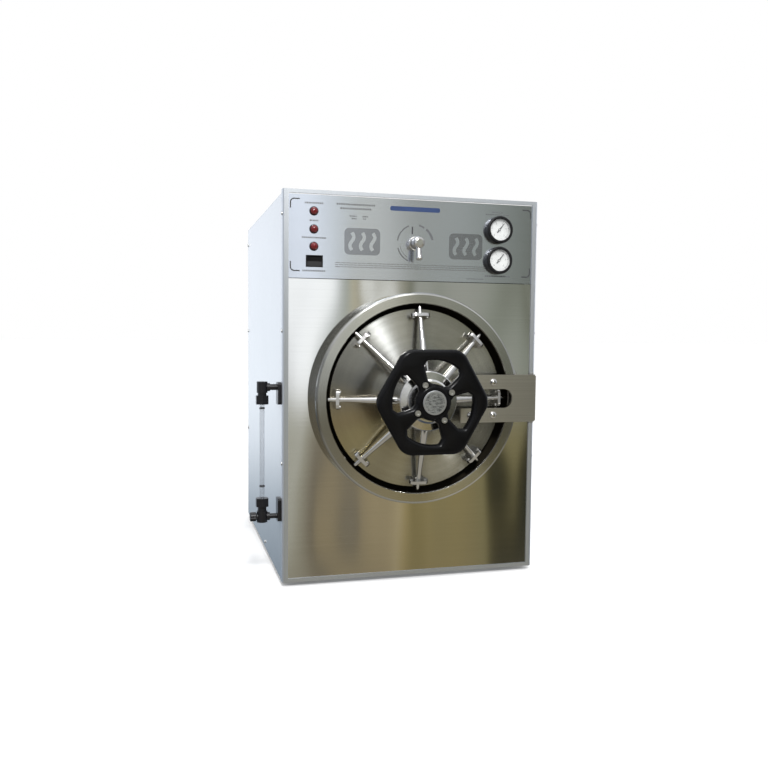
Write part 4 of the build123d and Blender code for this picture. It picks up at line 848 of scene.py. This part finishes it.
# Radius to the hexagon's corners before they are rounded, and the radius that rounds them.
WHEEL_CORNER = 108.0
WHEEL_ROUND = 30.0
WHEEL_STAND_OFFS = (108.0, 126.0)
WHEEL_BEVEL = 7.0
OPENING_RADII = (33.0, 75.0)
OPENING_MIDDLES = (75, 165, 255, 345)
OPENING_HALF_ANGLE = 30
OPENING_ROUND = 7.0
WELD_GAP = 0.02 * MM
WHEEL_SMOOTH_ANGLE = 40.0
# Radius and stand-off of the boss, from the axis at the back to the axis at the front.
BOSS_OUTLINE = (
    (0.0, 105.0),
    (30.0, 105.0),
    (30.0, 124.5),
    (29.6, 126.2),
    (28.4, 127.4),
    (26.6, 127.9),
    (0.0, 127.9),
)


def rounded_corners(points, radius, steps=8):
    """Closed polygon with its corners rounded, anticlockwise."""
    outline = []
    count = len(points)
    for i in range(count):
        here, before, after = (Vector(points[k % count]) for k in (i, i - 1, i + 1))
        back, ahead = (before - here).normalized(), (after - here).normalized()
        half = back.angle(ahead) / 2
        centre = here + (back + ahead).normalized() * radius / math.sin(half)
        start, end = here + back * radius / math.tan(half), here + ahead * radius / math.tan(half)
        first, last = start - centre, end - centre
        turn = math.atan2(first.x * last.y - first.y * last.x, first.dot(last))
        for step in range(steps + 1):
            cos, sin = math.cos(turn * step / steps), math.sin(turn * step / steps)
            x, y = first.x * cos - first.y * sin, first.x * sin + first.y * cos
            outline.append((centre.x + x, centre.y + y))
    return outline


def wheel_opening(middle):
    """Round-cornered opening between two radii, about an angle in degrees."""
    inner, outer = OPENING_RADII
    first, last = middle - OPENING_HALF_ANGLE, middle + OPENING_HALF_ANGLE
    lean = math.degrees(OPENING_ROUND / (outer - OPENING_ROUND))
    outline = arc(0, 0, outer, first + lean, last - lean, 24)
    outline += opening_side(last, outer, inner)
    lean = math.degrees(OPENING_ROUND / (inner + OPENING_ROUND))
    outline += arc(0, 0, inner, last - lean, first + lean, 12)
    outline += opening_side(first, inner, outer)
    return outline


def opening_side(angle, start, end):
    """Points between two radii that leave room for the round corners."""
    turn = math.radians(angle)
    return [polar(0, 0, start + (end - start) * share, turn) for share in (0.18, 0.5, 0.82)]


def make_handwheel():
    """Thick moulded wheel with a fully rounded rim, four openings and a domed boss."""
    hexagon = arc(0, 0, WHEEL_CORNER, 0, 300, 5)
    curve = bpy.data.curves.new("handwheel_outline", "CURVE")
    curve.dimensions = "2D"
    curve.fill_mode = "BOTH"
    outlines = [rounded_corners(hexagon, WHEEL_ROUND)]
    outlines += [wheel_opening(middle) for middle in OPENING_MIDDLES]
    for outline in outlines:
        spline = curve.splines.new("POLY")
        spline.points.add(len(outline) - 1)
        for point, (x, z) in zip(spline.points, outline):
            point.co = (x * MM, z * MM, 0, 1)
        spline.use_cyclic_u = True
    low, high = WHEEL_STAND_OFFS
    curve.extrude = ((high - low) / 2 - WHEEL_BEVEL) * MM
    curve.bevel_depth = WHEEL_BEVEL * MM
    curve.bevel_resolution = 5
    curve.offset = -WHEEL_BEVEL * MM
    mesh = bmesh.new()
    add_curve(mesh, curve, Matrix.Translation(stood_off(0, AXIS_HEIGHT, (low + high) / 2)))
    bmesh.ops.remove_doubles(mesh, verts=mesh.verts, dist=WELD_GAP)
    add_turned(mesh, (0.0, AXIS_HEIGHT), BOSS_OUTLINE)
    wheel = piece_from("handwheel_moulding", mesh, wheel_black, "wheel")
    round_shading(wheel.data, WHEEL_SMOOTH_ANGLE)
    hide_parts("handwheel")


def add_turned(mesh, at, outline, steps=72):
    """Adds a closed turned solid: (radius, stand-off) outline that starts and ends on the axis."""
    x, z = at
    rings = []
    for radius, stand_off in outline[1:-1]:
        ring = []
        for i in range(steps):
            spot = polar(x, z, radius, 2 * math.pi * i / steps)
            ring.append(mesh.verts.new(stood_off(*spot, stand_off)))
        rings.append(ring)
    ends = [mesh.verts.new(stood_off(x, z, end[1])) for end in (outline[0], outline[-1])]
    for i in range(steps):
        j = (i + 1) % steps
        mesh.faces.new((ends[0], rings[0][j], rings[0][i]))
        mesh.faces.new((ends[1], rings[-1][i], rings[-1][j]))
        for near, far in zip(rings, rings[1:]):
            mesh.faces.new((near[i], near[j], far[j], far[i]))


# Left, right, bottom and top.
ARM_FACE = (76.0, 228.0, 305.0, 395.0)
ARM_FACE_STAND_OFFS = (54.08, 55.2)
ARM_FACE_CHAMFER = 3
# Centre and radius of the slot's round end, from which it runs to the left edge.
ARM_SLOT = (162.0, 18.0)


def make_arm_face():
    """Thin face sheet on the hinge arm, cut out round the rod, that also covers the knuckle."""
    left, right, low, high = ARM_FACE
    back, front = ARM_FACE_STAND_OFFS
    slot_x, slot_radius = ARM_SLOT
    outline = [
        (left, low),
        (right - ARM_FACE_CHAMFER, low),
        (right, low + ARM_FACE_CHAMFER),
        (right, high - ARM_FACE_CHAMFER),
        (right - ARM_FACE_CHAMFER, high),
        (left, high),
        (left, AXIS_HEIGHT + slot_radius),
        *arc(slot_x, AXIS_HEIGHT, slot_radius, 90, -90, 20),
        (left, AXIS_HEIGHT - slot_radius),
    ]
    thick = (front - back) * MM
    drawn("hinge_arm_face", [outline], hinge_steel, back, thick, "door")


GLASS_BAND_HEIGHTS = (186.0, 331.0)
# How far the band stands off the glass, and the height from its middle.
GLASS_BAND_PROFILE = ((0, -1.6), (0.7, -1.2), (0.7, 1.2), (0, 1.6))
GLASS_BAND_STEPS = 32


def make_glass_bands():
    """Two dark marker bands clipped round the sight glass."""
    low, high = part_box("sight_glass")
    middle = (low + high) / 2
    radius = (high.x - low.x) / 2
    mesh = bmesh.new()
    for height in GLASS_BAND_HEIGHTS:
        place = Vector((middle.x, middle.y, height * MM))
        loops = [[] for _ in GLASS_BAND_PROFILE]
        for i in range(GLASS_BAND_STEPS):
            turn = 2 * math.pi * i / GLASS_BAND_STEPS
            spot = Vector((math.cos(turn), math.sin(turn), 0))
            for loop, (proud, rise) in zip(loops, GLASS_BAND_PROFILE):
                reach = radius + proud * MM
                loop.append(mesh.verts.new(place + spot * reach + Vector((0, 0, rise * MM))))
        for i in range(GLASS_BAND_STEPS):
            j = (i + 1) % GLASS_BAND_STEPS
            for near, far in zip(loops, loops[1:] + loops[:1]):
                mesh.faces.new((near[i], near[j], far[j], far[i]))
    piece_from("sight_glass_bands", mesh, print_dark, "cabinet")


# ------------------------------------------------------------------ stage, light and camera

# Fitted to the edges of the cabinet in the photograph.
CAMERA_AT = (-0.4653, -1.7873, 0.4729)
CAMERA_YAW, CAMERA_PITCH, CAMERA_ROLL = -15.318, -3.609, -0.540
CAMERA_LENS = 38.40
CAMERA_SENSOR = 36.0


def make_camera():
    data = bpy.data.cameras.new("camera")
    data.lens = CAMERA_LENS
    data.sensor_width = CAMERA_SENSOR
    data.clip_end = 50.0
    camera = bpy.data.objects.new("camera", data)
    turn = (
        Matrix.Rotation(math.radians(CAMERA_YAW), 4, "Z")
        @ Matrix.Rotation(math.radians(CAMERA_PITCH), 4, "X")
        @ Matrix.Rotation(math.radians(CAMERA_ROLL), 4, "Y")
        @ Matrix.Rotation(math.radians(90.0), 4, "X")
    )
    camera.matrix_world = Matrix.Translation(CAMERA_AT) @ turn
    bpy.context.scene.collection.objects.link(camera)
    bpy.context.scene.camera = camera


# Name, place, point aimed at, size and power.
LIGHTS = (
    ("top_soft", (-0.2, -0.6, 2.9), (0, 0, 0.4), (2.2, 2.2), 22),
    ("glare", (-0.36, -2.75, 2.20), (0, -0.3, 0.4), (0.36, 0.36), 56),
)


def area_light(name, at, aim, size, power):
    data = bpy.data.lights.new(name, "AREA")
    data.shape = "RECTANGLE"
    data.size, data.size_y = size
    data.energy = power
    light = bpy.data.objects.new(name, data)
    light.location = at
    direction = Vector(aim) - Vector(at)
    light.rotation_euler = direction.to_track_quat("-Z", "Y").to_euler()
    bpy.context.scene.collection.objects.link(light)


class Sky(Nodes):
    """The studio as bright metal sees it: bands of light and dark by direction."""

    def __init__(self, tree):
        super().__init__(tree)
        direction = self.node("ShaderNodeTexCoord").outputs["Generated"]
        right, back, self.height = self.axes(direction)
        self.bearing = self.math("ARCTAN2", right, self.math("MULTIPLY", back, -1.0))

    def share(self, source, low, high):
        """Smooth step from 0 at low to 1 at high."""
        return self.range(source, 0.0, 1.0, low, high, interpolation_type="SMOOTHSTEP")

    def by_height(self, low, high, first, second):
        """Changes from one colour to another between two heights of the direction."""
        return self.mix(self.share(self.height, low, high), first, second)

    def bands(self, source, low, high, stops):
        """Colour bands between two values of a direction, as (value, colour) stops."""
        place = self.range(source, 0.0, 1.0, low, high)
        return self.ramp(place, [((value - low) / (high - low), colour) for value, colour in stops])

    def around(self, stops):
        """Bands by bearing in degrees, drawn finely in the sector that the front panel mirrors."""
        low, high = (math.radians(bearing) for bearing in FINE_SECTOR)
        turned = [(math.radians(bearing), colour) for bearing, colour in stops]
        inner = [stop for stop in turned if low <= stop[0] <= high]
        outer = [stop for stop in turned if stop[0] <= low or stop[0] >= high]
        fine = self.bands(self.bearing, low, high, inner)
        wide = self.bands(self.bearing, outer[0][0], outer[-1][0], outer)
        above = self.math("GREATER_THAN", self.bearing, low)
        inside = self.math("MULTIPLY", above, self.math("LESS_THAN", self.bearing, high))
        return self.mix(inside, wide, fine)


# Bearings in degrees to the right of straight ahead of the door, for the light above and below
# the table edge that the front panel mirrors.
FINE_SECTOR = (4, 28)
ABOVE_TABLE = (
    (-95, (0.60, 0.62, 0.66)),
    (-50, (0.45, 0.47, 0.49)),
    (-38, (0.30, 0.31, 0.32)),
    (-30, (0.62, 0.65, 0.68)),
    (-21, (0.80, 0.83, 0.86)),
    (-15, (0.34, 0.35, 0.35)),
    (-8, (0.12, 0.12, 0.11)),
    (4, (0.14, 0.14, 0.13)),
    (7.2, (0.20, 0.21, 0.20)),
    (8.4, (1.40, 1.45, 1.52)),
    (9.8, (1.42, 1.47, 1.52)),
    (10.6, (1.00, 1.05, 1.08)),
    (11.3, (0.70, 0.74, 0.73)),
    (12.3, (0.53, 0.57, 0.53)),
    (13.7, (0.64, 0.61, 0.47)),
    (14.4, (0.50, 0.48, 0.38)),
    (15.1, (1.10, 1.13, 1.12)),
    (15.9, (0.50, 0.50, 0.44)),
    (16.6, (0.40, 0.40, 0.33)),
    (17.9, (0.26, 0.27, 0.22)),
    (19.3, (0.45, 0.47, 0.43)),
    (20.9, (0.42, 0.44, 0.40)),
    (22.1, (0.35, 0.38, 0.33)),
    (23.4, (0.23, 0.245, 0.20)),
    (24.3, (0.29, 0.31, 0.26)),
    (25.2, (0.13, 0.14, 0.10)),
    (28, (0.14, 0.145, 0.12)),
    (36, (0.22, 0.23, 0.22)),
    (46, (0.56, 0.58, 0.60)),
    (62, (0.40, 0.41, 0.42)),
    (95, (0.60, 0.62, 0.64)),
)
BELOW_TABLE = (
    (-95, (0.34, 0.34, 0.33)),
    (-50, (0.30, 0.29, 0.26)),
    (-38, (0.24, 0.22, 0.18)),
    (-28, (0.50, 0.48, 0.43)),
    (-20, (0.56, 0.54, 0.49)),
    (-13, (0.24, 0.22, 0.17)),
    (4, (0.20, 0.17, 0.11)),
    (7.6, (0.50, 0.50, 0.42)),
    (9.2, (0.54, 0.54, 0.47)),
    (10.0, (0.42, 0.41, 0.33)),
    (11.6, (0.27, 0.24, 0.18)),
    (12.2, (0.22, 0.195, 0.145)),
    (12.8, (0.36, 0.30, 0.19)),
    (14.0, (0.40, 0.33, 0.20)),
    (15.2, (0.50, 0.42, 0.25)),
    (16.2, (0.42, 0.34, 0.165)),
    (17.3, (0.28, 0.23, 0.10)),
    (19.4, (0.34, 0.28, 0.13)),
    (21.8, (0.28, 0.24, 0.12)),
    (22.9, (0.27, 0.24, 0.12)),
    (23.5, (0.07, 0.062, 0.030)),
    (24.4, (0.030, 0.032, 0.022)),
    (28, (0.032, 0.033, 0.024)),
    (34, (0.10, 0.10, 0.08)),
    (44, (0.38, 0.37, 0.33)),
    (58, (0.30, 0.29, 0.26)),
    (95, (0.22, 0.21, 0.19)),
)
# By the height of the direction, as a sine, to the sides and behind.
BEHIND = (
    (-0.60, (0.08, 0.10, 0.13)),
    (-0.28, (0.12, 0.17, 0.22)),
    (-0.203, (0.36, 0.43, 0.50)),
    (-0.131, (0.96, 1.04, 1.14)),
    (-0.07, (1.16, 1.24, 1.34)),
    (0.10, (1.16, 1.22, 1.32)),
    (0.40, (1.0, 1.04, 1.10)),
)


# Heights of the direction, as a sine, between which one part of the studio turns to another: the
# wall to the ceiling, the table to its near part, that to the floor, and the table to the wall.
CEILING_HEIGHTS = (0.24, 0.60)
CEILING = (0.80, 0.82, 0.85)
NEAR_TABLE_HEIGHTS = (-0.16, -0.55)
NEAR_TABLE = (0.20, 0.165, 0.09)
FLOOR_HEIGHTS = (-0.29, -0.44)
FLOOR = (0.44, 0.42, 0.37)
TABLE_EDGE_HEIGHTS = (-0.105, -0.065)
# Bearings in degrees between which the bands in front give way to those behind.
SIDE_BEARINGS = (70, 115)
# What matt surfaces see: an even room, darker below the horizon.
SOFT_HEIGHTS = (-0.25, 0.05)
SOFT_BELOW = (0.22, 0.22, 0.22)
WHITE = (1.0, 1.0, 1.0)


def make_world():
    """White to the camera, bands of light to mirrors, and an even room to everything else."""
    world = bpy.data.worlds.new("studio")
    world.use_nodes = True
    sky = Sky(world.node_tree)
    above = sky.by_height(*CEILING_HEIGHTS, sky.around(ABOVE_TABLE), CEILING)
    below = sky.by_height(*NEAR_TABLE_HEIGHTS, sky.around(BELOW_TABLE), NEAR_TABLE)
    below = sky.by_height(*FLOOR_HEIGHTS, below, FLOOR)
    front = sky.by_height(*TABLE_EDGE_HEIGHTS, below, above)
    behind = sky.bands(sky.height, -1.0, 1.0, BEHIND)
    start, end = (math.radians(bearing) for bearing in SIDE_BEARINGS)
    aside = sky.share(sky.math("ABSOLUTE", sky.bearing), start, end)
    mirrored = sky.mix(aside, front, behind)
    rays = sky.node("ShaderNodeLightPath")
    seen = sky.by_height(*SOFT_HEIGHTS, SOFT_BELOW, WHITE)
    seen = sky.mix(rays.outputs["Is Camera Ray"], seen, WHITE)
    seen = sky.mix(rays.outputs["Is Glossy Ray"], seen, mirrored)
    background = sky.tree.nodes["Background"]
    sky.link(seen, background.inputs["Color"])
    background.inputs["Strength"].default_value = 1.0
    bpy.context.scene.world = world


FLOOR_HALF = 40.0


def make_floor():
    """Plain pale floor that mirrors and soft light pass by, so that the studio lights the front."""
    look = Shader("pale_floor")
    look.set(Base_Color=(0.96, 0.96, 0.96, 1.0), Roughness=0.9)
    look.set(Emission_Color=(*WHITE, 1.0), Emission_Strength=0.06)
    mesh = bpy.data.meshes.new("floor")
    corners = [(x * FLOOR_HALF, y * FLOOR_HALF, 0) for x, y in ((-1, -1), (1, -1), (1, 1), (-1, 1))]
    mesh.from_pydata(corners, [], [(0, 1, 2, 3)])
    mesh.materials.append(look.material)
    made = bpy.data.objects.new("floor", mesh)
    bpy.context.scene.collection.objects.link(made)
    made.visible_glossy = False
    made.visible_diffuse = False


make_handwheel()
make_arm_face()
make_fascia_print()
make_dial_marks()
make_glass_bands()
make_camera()
make_floor()
make_world()
for light in LIGHTS:
    area_light(*light)
bpy.context.scene.view_settings.view_transform = "Standard"
